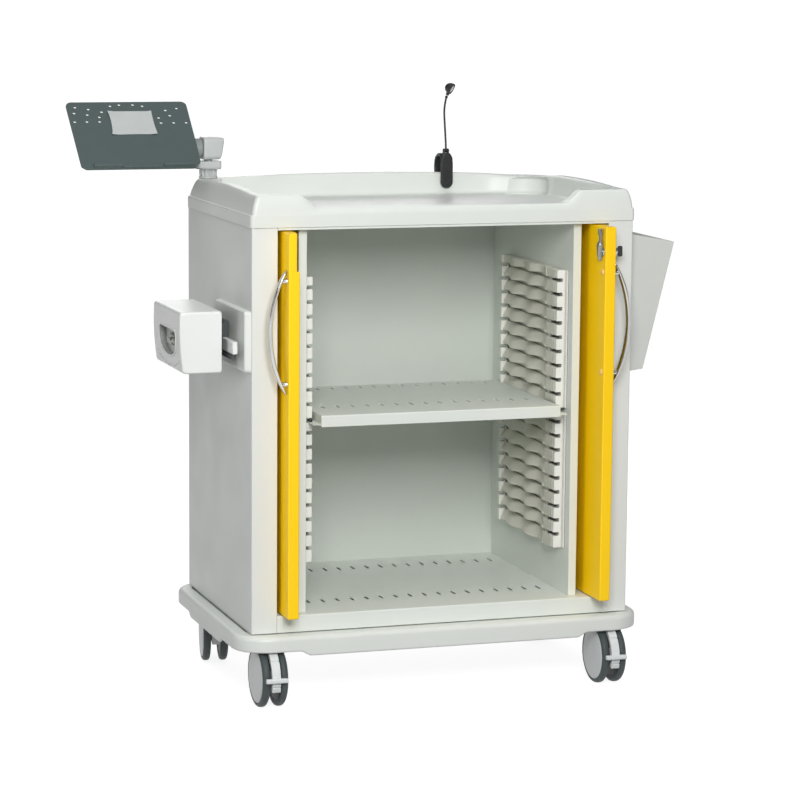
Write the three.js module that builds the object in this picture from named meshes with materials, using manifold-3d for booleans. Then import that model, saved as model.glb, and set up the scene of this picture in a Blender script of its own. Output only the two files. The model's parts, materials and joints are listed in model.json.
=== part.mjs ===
// Mobile medical chart rack: a sheet-steel cabinet on a moulded base with four
// twin-wheel castors, two doors that slide back into side pockets, moulded
// runner panels with a pull-out shelf, a moulded worktop with a raised rim,
// and its accessories (tilting tablet board, glove-box holder on a side rail,
// document pocket, clip-on gooseneck lamp).
// Units are millimetres, +X right, +Y to the back, +Z up, floor at z = 0.

import * as THREE from 'three';
import { mergeVertices } from 'three/addons/utils/BufferGeometryUtils.js';
import Module from 'manifold-3d';

const wasm = await Module();
wasm.setup();

// ---------------------------------------------------------------- dimensions
// The model is laid out about the centre of the cabinet; the whole group is
// then shifted so that the origin is the bottom centre of the overall box.
const SHIFT_X = 79.0;
const SHIFT_Y = 14.0;

const GAP = 0.3;               // clearance between touching pieces
const SHEET = 1.5;             // folded steel sheet

// cabinet
const CAB_HX = 410;            // half width
const CAB_HY = 258;            // half depth
const CAB_Z0 = 155;            // underside of the cabinet
const CAB_Z1 = 982;            // top of the cabinet, under the worktop
const STILE_X = 356;           // inner edge of the outer front stiles
const WALL_X = 288;            // inner face of the pocket partitions
const PART_STILE = 305.5;      // outer edge of the partition's front stile
const PART_Y = -234;           // its front face, set back so that a closed door stands flush
const BACK_Y = 244;            // front face of the back panel
const DECK_Z = 189.6;          // top of the cabinet floor
const ROOF_Z = 977.3;          // underside of the cabinet roof

// base and castors
const BASE_HX = 442, BASE_HY = 288, BASE_R = 72;
const BASE_TOP = 153, BASE_LOW = 110, BASE_ARCH = 120, BASE_WALL = 5;
const CHASSIS_Z0 = 131, CHASSIS_Z1 = 146.7;
const CASTOR_X = 370, CASTOR_Y = 211, CASTOR_TRAIL = 29;
const WHEEL_R = 62.5, WHEEL_IN = 10, WHEEL_OUT = 28;
const AXLE_R = 5, AXLE_BORE = 5.3;

// worktop moulding
const TOP_HX = 413, TOP_HY = 261;
const TOP_Z0 = 982.3, TOP_STEP = 1008, TOP_CREST = 1047;
const CREST_HX = 394, CREST_HY = 242;
const DISH_Z = 1005, DISH_HX = 366, DISH_HY = 222, DISH_TOP_HX = 374, DISH_TOP_HY = 229;
const FRONT_LOW = 1021;        // lowered front edge of the rim
const CUP_X = 324, CUP_Y = 158, CUP_R = 54.5;
const SKIN = 4;

// doors
const DOOR_T = 23, DOOR_L = 354, DOOR_Z0 = 191.5, DOOR_Z1 = 974.5;
const LDOOR_X = -335, LDOOR_Y = -306;    // centre of thickness, leading edge
const RDOOR_X = 338, RDOOR_Y = -316;
const LOCK_Z = 923;
const HANDLE_Z0 = 650, HANDLE_Z1 = 900, HANDLE_BULGE = 36, HANDLE_BOLT = 104;

// runner panels and shelf
const RACK_Y0 = -200, RACK_Y1 = 146, RACK_TIP = 266, RACK_H = 291, PITCH = 30, RUNS = 9;
const LOWER_RACK_Z = 286, UPPER_RACK_Z = 585;
const SHELF_Z = 597, SHELF_HX = 260, SHELF_Y0 = -246, SHELF_Y1 = 150, SHELF_LIP = 23.5;

// tablet board on its post
const POST_X = -375, POST_Y = 222, TILT_Z = 1111;
const BOARD_TILT = 37.4 * Math.PI / 180;
const BOARD_X = -416, BOARD_Y = 89, BOARD_Z = 1080.6, BOARD_W = 262, BOARD_H = 212, BOARD_T = 5;

// side rail and glove-box holder
const PAD_T = 12, PAD_Y0 = -256, PAD_Y1 = -8, PAD_Z0 = 690, PAD_Z1 = 815;
const RAIL_X0 = -445, RAIL_X1 = -435, RAIL_Y0 = -242, RAIL_Y1 = 24, RAIL_Z0 = 728, RAIL_Z1 = 753;
const GLOVE_X0 = -540, GLOVE_X1 = -457, GLOVE_Y0 = -200, GLOVE_Y1 = 26, GLOVE_Z0 = 685, GLOVE_Z1 = 811;

// document pocket
const POCKET_Y0 = -220, POCKET_Y1 = 130;

// lamp
const LAMP_X = 164, LAMP_W = 28, LAMP_UP = 4;

// ------------------------------------------------------------------- helpers
function toSolid(geometry) {
  let g = geometry.clone();
  for (const name of Object.keys(g.attributes)) if (name !== 'position') g.deleteAttribute(name);
  g = mergeVertices(g, 1e-3);
  const p = g.attributes.position.array;
  const idx = Array.from(g.index.array);
  const tris = [];
  let vol = 0;
  for (let i = 0; i < idx.length; i += 3) {
    const [a, b, c] = [idx[i], idx[i + 1], idx[i + 2]];
    if (a === b || b === c || a === c) continue;
    tris.push(a, b, c);
    const ax = p[3 * a], ay = p[3 * a + 1], az = p[3 * a + 2];
    const bx = p[3 * b], by = p[3 * b + 1], bz = p[3 * b + 2];
    const cx = p[3 * c], cy = p[3 * c + 1], cz = p[3 * c + 2];
    vol += ax * (by * cz - bz * cy) + ay * (bz * cx - bx * cz) + az * (bx * cy - by * cx);
  }
  if (vol < 0) for (let i = 0; i < tris.length; i += 3) [tris[i + 1], tris[i + 2]] = [tris[i + 2], tris[i + 1]];
  return new wasm.Manifold(new wasm.Mesh({
    numProp: 3, vertProperties: new Float32Array(p), triVerts: new Uint32Array(tris),
  }));
}

function toGeometry(manifold) {
  const m = manifold.getMesh();
  const n = m.vertProperties.length / m.numProp;
  const pos = new Float32Array(3 * n);
  for (let i = 0; i < n; i++) for (let k = 0; k < 3; k++) pos[3 * i + k] = m.vertProperties[m.numProp * i + k];
  const g = new THREE.BufferGeometry();
  g.setAttribute('position', new THREE.BufferAttribute(pos, 3));
  g.setIndex(new THREE.BufferAttribute(new Uint32Array(m.triVerts), 1));
  g.computeVertexNormals();
  return g;
}

function box(x0, x1, y0, y1, z0, z1) {
  const g = new THREE.BoxGeometry(Math.abs(x1 - x0), Math.abs(y1 - y0), Math.abs(z1 - z0));
  g.translate((x0 + x1) / 2, (y0 + y1) / 2, (z0 + z1) / 2);
  return toSolid(g);
}

// box given for the left side, mirrored to the right when side is +1
function sideBox(side, x0, x1, y0, y1, z0, z1) {
  return side < 0 ? box(-x1, -x0, y0, y1, z0, z1) : box(x0, x1, y0, y1, z0, z1);
}

// cylinder along an axis; c holds the two other coordinates in X, Y, Z order
function cyl(axis, r, a0, a1, c, seg = 24, turn = 0) {
  const g = new THREE.CylinderGeometry(r, r, a1 - a0, seg, 1);
  g.rotateY(turn);
  const m = (a0 + a1) / 2;
  if (axis === 'z') { g.rotateX(Math.PI / 2); g.translate(c[0], c[1], m); }
  else if (axis === 'x') { g.rotateZ(-Math.PI / 2); g.translate(m, c[0], c[1]); }
  else g.translate(c[0], m, c[1]);
  return toSolid(g);
}

// outline drawn in one plane and extruded along the third axis from a0 to a1
function prism(plane, points, a0, a1) {
  const shape = new THREE.Shape(points.map(([u, v]) => new THREE.Vector2(u, v)));
  const g = new THREE.ExtrudeGeometry(shape, { depth: a1 - a0, bevelEnabled: false });
  if (plane === 'xy') g.translate(0, 0, a0);
  else if (plane === 'xz') { g.rotateX(Math.PI / 2); g.translate(0, a1, 0); }
  else {
    g.applyMatrix4(new THREE.Matrix4().makeBasis(
      new THREE.Vector3(0, 1, 0), new THREE.Vector3(0, 0, 1), new THREE.Vector3(1, 0, 0)));
    g.translate(a0, 0, 0);
  }
  return toSolid(g);
}

// closed body through rings of equal point count, given bottom to top
function loft(rings) {
  const n = rings[0][1].length;
  const pos = [], idx = [];
  for (const [z, pts] of rings) for (const [x, y] of pts) pos.push(x, y, z);
  for (let k = 0; k + 1 < rings.length; k++) {
    for (let i = 0; i < n; i++) {
      const j = (i + 1) % n;
      const a = k * n + i, b = k * n + j, c = (k + 1) * n + j, d = (k + 1) * n + i;
      idx.push(a, b, c, a, c, d);
    }
  }
  const last = (rings.length - 1) * n;
  for (let i = 1; i + 1 < n; i++) {
    idx.push(0, i + 1, i);
    idx.push(last, last + i, last + i + 1);
  }
  const g = new THREE.BufferGeometry();
  g.setAttribute('position', new THREE.BufferAttribute(new Float32Array(pos), 3));
  g.setIndex(idx);
  return toSolid(g);
}

// rounded rectangle, counter-clockwise
function rr(hx, hy, r, n = 6, cx = 0, cy = 0) {
  const pts = [];
  for (const [sx, sy, a0] of [[1, 1, 0], [-1, 1, 90], [-1, -1, 180], [1, -1, 270]]) {
    for (let i = 0; i <= n; i++) {
      const a = (a0 + 90 * i / n) * Math.PI / 180;
      pts.push([cx + sx * (hx - r) + r * Math.cos(a), cy + sy * (hy - r) + r * Math.sin(a)]);
    }
  }
  return pts;
}

const rect = (x0, x1, y0, y1) => [[x0, y0], [x1, y0], [x1, y1], [x0, y1]];

function arc(cx, cy, r, a0, a1, n) {
  const pts = [];
  for (let i = 0; i <= n; i++) {
    const a = (a0 + (a1 - a0) * i / n) * Math.PI / 180;
    pts.push([cx + r * Math.cos(a), cy + r * Math.sin(a)]);
  }
  return pts;
}

function union(...parts) { return parts.reduce((a, b) => a.add(b)); }

// obround slot along Y, six-sided
function slot(cx, cy, w, l, z0, z1) {
  const a = w / 2, b = l / 2;
  return prism('xy', [[cx, cy - b], [cx + a, cy - b + a], [cx + a, cy + b - a], [cx, cy + b],
    [cx - a, cy + b - a], [cx - a, cy - b + a]], z0, z1);
}

// solid of revolution about Z from [radius, z] points
function revolve(points, seg = 24) {
  return toSolid(new THREE.LatheGeometry(points.map(([r, z]) => new THREE.Vector2(r, z)), seg).rotateX(Math.PI / 2));
}

// --------------------------------------------------------------------- scene
const rack = new THREE.Group();
rack.name = 'medical_chart_rack';
rack.position.set(SHIFT_X, SHIFT_Y, 0);

const FINISH = {
  abs: { color: 0xd3d6d3, roughness: 0.5, metalness: 0 },
  body: { color: 0xdcdedb, roughness: 0.45, metalness: 0.1 },
  inner: { color: 0xaab0aa, roughness: 0.5, metalness: 0.1 },
  yellow: { color: 0xffd000, roughness: 0.35, metalness: 0.05 },
  runner: { color: 0xc9cabd, roughness: 0.55, metalness: 0 },
  steel: { color: 0xb9bcbd, roughness: 0.3, metalness: 0.9 },
  zinc: { color: 0x9fa3a5, roughness: 0.45, metalness: 0.8 },
  slate: { color: 0x53605f, roughness: 0.5, metalness: 0 },
  tyre: { color: 0x46504f, roughness: 0.7, metalness: 0 },
  light: { color: 0xc8cbcb, roughness: 0.45, metalness: 0 },
  white: { color: 0xeceeec, roughness: 0.4, metalness: 0 },
  black: { color: 0x17191a, roughness: 0.45, metalness: 0 },
  paper: { color: 0xdfe3e3, roughness: 0.8, metalness: 0 },
  lens: { color: 0xd8dcdc, roughness: 0.2, metalness: 0 },
};

function add(name, solid, finish, parent = rack) {
  const mesh = new THREE.Mesh(toGeometry(solid), new THREE.MeshStandardMaterial(FINISH[finish]));
  mesh.name = name;
  parent.add(mesh);
  return mesh;
}

// ---------------------------------------------------------------------- base
{
  const ring = (d) => rr(BASE_HX - d, BASE_HY - d, BASE_R - d);
  let base = loft([[BASE_LOW, ring(3)], [BASE_LOW + 3, ring(0)], [BASE_TOP - 9, ring(0)],
    [BASE_TOP - 3, ring(2.6)], [BASE_TOP, ring(9)]]);
  base = base.add(box(-402, 402, -250, 250, BASE_TOP - 1, CAB_Z0 - GAP));
  base = base.subtract(loft([[BASE_LOW - 5, ring(BASE_WALL)], [CHASSIS_Z1 + GAP, ring(BASE_WALL)]]));
  for (const sx of [-1, 1]) for (const sy of [-1, 1]) {
    const q = (x0, y0) => {
      const xs = [sx * x0, sx * 480].sort((a, b) => a - b), ys = [sy * y0, sy * 320].sort((a, b) => a - b);
      return rect(xs[0], xs[1], ys[0], ys[1]);
    };
    base = base.subtract(loft([[BASE_LOW - 6, q(282, 118)], [BASE_ARCH, q(306, 140)]]));
  }
  add('base_bumper', base, 'abs');

  for (const [name, sy] of [['chassis_beam_front', -1], ['chassis_beam_rear', 1]]) {
    let beam = box(-425, 425, sy * CASTOR_Y - 26, sy * CASTOR_Y + 26, CHASSIS_Z0, CHASSIS_Z1);
    for (const sx of [-1, 1]) {
      beam = beam.subtract(cyl('z', 6.4, CHASSIS_Z0 - 2, CHASSIS_Z1 + 2, [sx * CASTOR_X, sy * CASTOR_Y], 16));
    }
    add(name, beam, 'zinc');
  }
}

// ------------------------------------------------------------------- castors
{
  const WZ = WHEEL_R;
  const flat = WHEEL_R / Math.cos(Math.PI / 24);
  for (const [tag, sx, sy, braked] of [['fl', -1, -1, true], ['fr', 1, -1, true], ['rl', -1, 1, false], ['rr', 1, 1, false]]) {
    const cx = sx * CASTOR_X, cy = sy * CASTOR_Y, wy = cy - CASTOR_TRAIL;
    // the rear left castor stands a little turned about its stem
    const turned = (solid) => (tag === 'rl' ? solid.translate([-cx, -cy, 0]).rotate([0, 0, -9]).translate([cx, cy, 0]) : solid);
    // fork: swivel disc and stem, slim plate between the wheels, axle
    const plate = [[cy + 17, 127], [cy - 20, 127], [cy - 46, 96], ...arc(wy, WZ, 21, 165, 345, 8), [cy + 6, 98]];
    const hood = braked ? [40, 98] : [40, 196];
    const fork = union(
      prism('yz', plate, cx - 5, cx + 5),
      prism('yz', [...arc(wy, WZ, 61, hood[0], hood[1], braked ? 5 : 10), ...arc(wy, WZ, 38, hood[1], hood[0], braked ? 5 : 10)], cx - 9, cx + 9),
      cyl('z', 19, 126.4, CHASSIS_Z0 - GAP, [cx, cy], 20),
      cyl('z', 6, 128, 145, [cx, cy], 16),
      cyl('x', AXLE_R, cx - WHEEL_OUT + 0.5, cx + WHEEL_OUT - 0.5, [wy, WZ], 16),
    );
    add(`castor_${tag}_fork`, turned(fork), 'light');
    // twin wheels
    for (const [half, s] of [['left', -1], ['right', 1]]) {
      const prof = [[AXLE_BORE, WHEEL_IN], [flat - 5.5, WHEEL_IN], [flat, WHEEL_IN + 3.5], [flat, WHEEL_OUT - 4.5],
        [flat - 6.5, WHEEL_OUT], [AXLE_BORE, WHEEL_OUT], [AXLE_BORE, WHEEL_IN]];
      const g = new THREE.LatheGeometry(prof.map(([r, a]) => new THREE.Vector2(r, s * a)), 24, Math.PI / 24);
      g.rotateZ(-Math.PI / 2);
      g.translate(cx, wy, WZ);
      add(`castor_${tag}_wheel_${half}`, turned(toSolid(g)), 'tyre');
    }
    // brake pedal, turning on the axle
    if (braked) {
      const bar = arc(wy, WZ, 66.8, 112, 198, 8);
      const inner = arc(wy, WZ, 57, 198, 112, 8);
      const rad = (r, a) => [wy + r * Math.cos(a * Math.PI / 180), WZ + r * Math.sin(a * Math.PI / 180)];
      let pedal = prism('yz', [...bar, ...inner], cx - 9, cx + 9);
      for (const s of [-1, 1]) {
        const xs = [cx + s * 5.6, cx + s * 9].sort((a, b) => a - b);
        pedal = pedal.add(cyl('x', 12, xs[0], xs[1], [wy, WZ], 16));
        pedal = pedal.add(prism('yz', [rad(12, 250), rad(12, 80), rad(58, 158), rad(58, 182)], xs[0], xs[1]));
      }
      pedal = pedal.subtract(cyl('x', AXLE_BORE, cx - 12, cx + 12, [wy, WZ], 16));
      pedal = pedal.add(prism('yz', [rad(64.6, 171.5), rad(64.6, 180.5), rad(75, 179.5), rad(75, 172.5)], cx - 23, cx + 23));
      add(`castor_${tag}_brake_pedal`, pedal, 'light');
    }
  }
}

// ------------------------------------------------------------- cabinet shell
// mirrored outline for the left side
const flip = (s, pts) => (s > 0 ? pts : pts.map(([x, y]) => [-x, y]).reverse());
{
  for (const [name, s] of [['left_side_panel', -1], ['right_side_panel', 1]]) {
    const t = SHEET;
    add(name, prism('xy', flip(s, [[CAB_HX, -CAB_HY], [CAB_HX, CAB_HY], [CAB_HX - 25, CAB_HY], [CAB_HX - 25, CAB_HY - t],
      [CAB_HX - t, CAB_HY - t], [CAB_HX - t, -CAB_HY + t], [STILE_X + t, -CAB_HY + t], [STILE_X + t, -CAB_HY + 18],
      [STILE_X, -CAB_HY + 18], [STILE_X, -CAB_HY]]), CAB_Z0, CAB_Z1), 'body');
  }
  const in1 = CAB_HX - SHEET - GAP;
  const mid = STILE_X - GAP;
  // floor of the cabinet: slotted tray with a front rail
  let deck = prism('yz', [[-CAB_HY, CAB_Z0], [-CAB_HY + 2, CAB_Z0], [-CAB_HY + 2, DECK_Z - 2], [BACK_Y - GAP, DECK_Z - 2],
    [BACK_Y - GAP, DECK_Z], [-CAB_HY, DECK_Z]], -mid, mid);
  for (const s of [-1, 1]) {
    deck = deck.add(sideBox(s, mid - 6, in1 - 1, -CAB_HY + 19, BACK_Y - 0.8, DECK_Z - 1.7, DECK_Z - 0.3));
    deck = deck.add(sideBox(s, in1 - 2.2, in1, -CAB_HY + 19.5, BACK_Y - 1.2, CAB_Z0, DECK_Z - 0.6));
  }
  for (const y of [-137, 165]) for (let i = -8; i <= 8; i++) {
    deck = deck.subtract(slot(i * 32, y, 6, 34, DECK_Z - 4, DECK_Z + 2));
  }
  add('deck_panel', deck, 'inner');
  // roof of the cabinet with its header
  let roof = prism('yz', [[-CAB_HY, ROOF_Z], [BACK_Y - GAP, ROOF_Z], [BACK_Y - GAP, CAB_Z1], [BACK_Y - GAP - SHEET, CAB_Z1],
    [BACK_Y - GAP - SHEET, ROOF_Z + SHEET], [-CAB_HY + 2.5, ROOF_Z + SHEET], [-CAB_HY + 2.5, CAB_Z1], [-CAB_HY, CAB_Z1]], -mid, mid);
  for (const s of [-1, 1]) {
    roof = roof.add(sideBox(s, mid - 6, in1, -CAB_HY + 19, BACK_Y - 0.8, ROOF_Z + 0.2, ROOF_Z + SHEET - 0.2));
  }
  add('roof_panel', roof, 'inner');
  // recessed back
  add('back_panel', prism('xy', [[-in1, BACK_Y], [in1, BACK_Y], [in1, CAB_HY - SHEET - GAP], [in1 - SHEET, CAB_HY - SHEET - GAP],
    [in1 - SHEET, BACK_Y + SHEET], [-in1 + SHEET, BACK_Y + SHEET], [-in1 + SHEET, CAB_HY - SHEET - GAP], [-in1, CAB_HY - SHEET - GAP]],
  CAB_Z0, CAB_Z1), 'body');
  // partitions between the interior and the door pockets
  for (const [name, s] of [['left_partition', -1], ['right_partition', 1]]) {
    const t = SHEET;
    add(name, prism('xy', flip(s, [[WALL_X, PART_Y], [PART_STILE, PART_Y], [PART_STILE, PART_Y + 12], [PART_STILE - t, PART_Y + 12],
      [PART_STILE - t, PART_Y + t], [WALL_X + t, PART_Y + t], [WALL_X + t, BACK_Y - GAP], [WALL_X, BACK_Y - GAP]]),
    DECK_Z + GAP, ROOF_Z - GAP), 'inner');
  }
}

// ------------------------------------------------------------------- worktop
{
  const N = 7;
  // rounded rectangle whose back right corner (rb) and front corners (rf) have radii of their own
  const ring = (hx, hy, r, rb, rf) => [[1, 1, 0, rb], [-1, 1, 90, r], [-1, -1, 180, rf], [1, -1, 270, rf]].flatMap(
    ([sx, sy, a0, q]) => arc(sx * (hx - q), sy * (hy - q), q, a0, a0 + 90, N));
  // the side walls round over from the step to the crest: height, share of the inset
  const WALL = [[TOP_STEP, 0], [TOP_STEP + 20, 0.3], [TOP_STEP + 32, 0.58], [TOP_CREST - 2, 0.82], [TOP_CREST, 1]];
  const slope = (z) => {
    for (let i = 1; i < WALL.length; i++) {
      const [a, u] = WALL[i - 1], [b, v] = WALL[i];
      if (z <= b) return Math.max(0, u + (v - u) * (z - a) / (b - a));
    }
    return 1;
  };
  const outerAt = (z, d = 0) => {
    const t = z <= TOP_STEP ? 0 : slope(z), u = Math.max(0, (z - TOP_STEP) / (TOP_CREST - TOP_STEP));
    return ring(TOP_HX + (CREST_HX - TOP_HX) * t - d, TOP_HY + (CREST_HY - TOP_HY) * u - d, 14 - d * 0.5, 14 + 66 * u - d, 8 - d * 0.5);
  };
  const dishAt = (z, d = 0) => {
    const t = (z - DISH_Z) / (TOP_CREST - DISH_Z);
    return ring(DISH_HX + (DISH_TOP_HX - DISH_HX) * t + d, DISH_HY + (DISH_TOP_HY - DISH_HY) * t + d, 30 + d, 130 + d, 30 + d);
  };
  // the crest arches up a little along the back and along both sides
  const arch = (a, b, rise, n = 8) => {
    const pts = [[a, TOP_CREST - 4], [b, TOP_CREST - 4]];
    for (let i = n; i >= 0; i--) {
      const t = -1 + 2 * i / n;
      pts.push([(a + b) / 2 + t * (b - a) / 2, TOP_CREST - 1 + (rise + 1) * (1 - t * t)]);
    }
    return pts;
  };
  const outer = union(
    loft([[TOP_Z0, outerAt(TOP_Z0)], ...WALL.map(([z]) => [z, outerAt(z)])]),
    cyl('z', 26, TOP_STEP, TOP_CREST, [POST_X, POST_Y], 24),
    prism('xz', arch(-344, 312, 6.5), 226, CREST_HY - 0.6),
    prism('yz', arch(-196, 156, 4), 370, CREST_HX - 0.6),
    prism('yz', arch(-196, 186, 5), 0.6 - CREST_HX, -370),
  );
  const frontCut = (d) => prism('xz', [[-306 - d, TOP_CREST + 20], [-306 - d, TOP_CREST - 2], [-297 - d, TOP_CREST - 5], [-272 - d, FRONT_LOW + 3],
    [-264 - d, FRONT_LOW - d], [264 + d, FRONT_LOW - d], [272 + d, FRONT_LOW + 3], [297 + d, TOP_CREST - 5], [306 + d, TOP_CREST - 2], [306 + d, TOP_CREST + 20]], -TOP_HY - 5, -170);
  const post = cyl('z', 26, TOP_STEP, TOP_CREST, [POST_X, POST_Y], 24);
  const dish = loft([[DISH_Z, dishAt(DISH_Z)], [TOP_CREST + 14, dishAt(TOP_CREST + 14)]]).subtract(post);
  const cup = cyl('z', CUP_R, DISH_Z - 3, TOP_CREST + 14, [CUP_X, CUP_Y], 40);
  // hollow underside
  let hollow = loft([[TOP_Z0 - 4, outerAt(TOP_Z0, SKIN)], [TOP_STEP, outerAt(TOP_STEP, SKIN)], [TOP_CREST - SKIN - 1, outerAt(TOP_CREST - 1, SKIN + 1)]]);
  hollow = hollow.subtract(loft([[DISH_Z - SKIN, dishAt(DISH_Z, SKIN)], [TOP_CREST + 6, dishAt(TOP_CREST + 6, SKIN)]]));
  hollow = hollow.subtract(cyl('z', CUP_R + SKIN, DISH_Z - 3 - SKIN, TOP_CREST + 6, [CUP_X, CUP_Y], 40));
  hollow = hollow.subtract(frontCut(SKIN));
  hollow = hollow.subtract(cyl('z', 24, TOP_Z0 - 6, TOP_CREST + 6, [POST_X, POST_Y], 24));
  const top = outer.subtract(dish).subtract(cup).subtract(frontCut(0)).subtract(hollow);
  add('worktop', top, 'abs');
}

// ------------------------------------------------------------- runner panels
{
  // comb outline in X and Z: a back web with one rib between neighbouring runner
  // slots; a rib's face may lean back from its lower edge to the slot above it
  const comb = (s, tip, lean, web, back, z0, z1, h) => {
    const pts = [[back, z1], [back, z0]];
    for (let i = 0; i <= RUNS; i++) {
      const a = i === 0 ? z0 : LEVEL(z0, i - 1) + h, b = i === RUNS ? z1 : LEVEL(z0, i) - h;
      if (i > 0) pts.push([web, a]);
      pts.push([tip, a]);
      if (i < RUNS && lean > tip) pts.push([tip, a + 5], [lean, b]);
      else pts.push([tip, b]);
      if (i < RUNS) pts.push([web, b]);
    }
    return flip(s, pts);
  };
  const LEVEL = (z0, i) => (z0 < UPPER_RACK_Z - 1 ? LOWER_RACK_Z : UPPER_RACK_Z) + 29.5 + PITCH * i;
  const panel = (s, z0) => {
    const z1 = z0 + RACK_H;
    let p = prism('xz', comb(s, RACK_TIP + 2.5, 276, WALL_X - 4, WALL_X - GAP, z0, z1, 3), RACK_Y0 + 5, RACK_Y1 - 5);
    p = p.add(prism('xz', comb(s, RACK_TIP, 0, WALL_X - 11, WALL_X - GAP - 0.4, z0 + 0.4, z1 - 0.4, 2.8), RACK_Y0, RACK_Y0 + 12));
    p = p.add(prism('xz', comb(s, RACK_TIP + 0.4, 0, RACK_TIP + 4, WALL_X - GAP - 0.8, z0 + 0.8, z1 - 0.8, 2.9), RACK_Y0 + 11, RACK_Y0 + 62));
    p = p.add(prism('xz', comb(s, RACK_TIP, 0, WALL_X - 11, WALL_X - GAP - 0.4, z0 + 0.4, z1 - 0.4, 2.8), RACK_Y1 - 12, RACK_Y1));
    return p;
  };
  add('left_lower_runner_panel', panel(-1, LOWER_RACK_Z), 'runner');
  add('right_lower_runner_panel', panel(1, LOWER_RACK_Z), 'runner');
  add('left_upper_runner_panel', panel(-1, UPPER_RACK_Z), 'runner');
  add('right_upper_runner_panel', panel(1, UPPER_RACK_Z), 'runner');

  // pull-out shelf: slotted tray whose turned-out feet slide on the lower panels
  const b = LOWER_RACK_Z + RACK_H + GAP, t = SHEET, h = SHELF_HX, f = SHELF_HX + 16;
  let shelf = prism('xz', [[-f, b], [-h + t, b], [-h + t, SHELF_Z - t], [h - t, SHELF_Z - t], [h - t, b], [f, b], [f, b + t], [h, b + t],
    [h, SHELF_Z], [-h, SHELF_Z], [-h, b + t], [-f, b + t]], SHELF_Y0 + 0.5, SHELF_Y1);
  shelf = shelf.add(box(-h + 0.4, h - 0.4, SHELF_Y0, SHELF_Y0 + 2, SHELF_Z - SHELF_LIP, SHELF_Z - 0.4));
  shelf = shelf.add(box(-h + 0.4, h - 0.4, SHELF_Y1 - 2, SHELF_Y1 - 0.5, SHELF_Z - SHELF_LIP, SHELF_Z - 0.4));
  for (const y of [-132, 120]) for (let i = -7; i <= 7; i++) {
    shelf = shelf.subtract(slot(i * 32, y, 6, 34, SHELF_Z - 4, SHELF_Z + 2));
  }
  add('shelf', shelf, 'inner');
}

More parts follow.
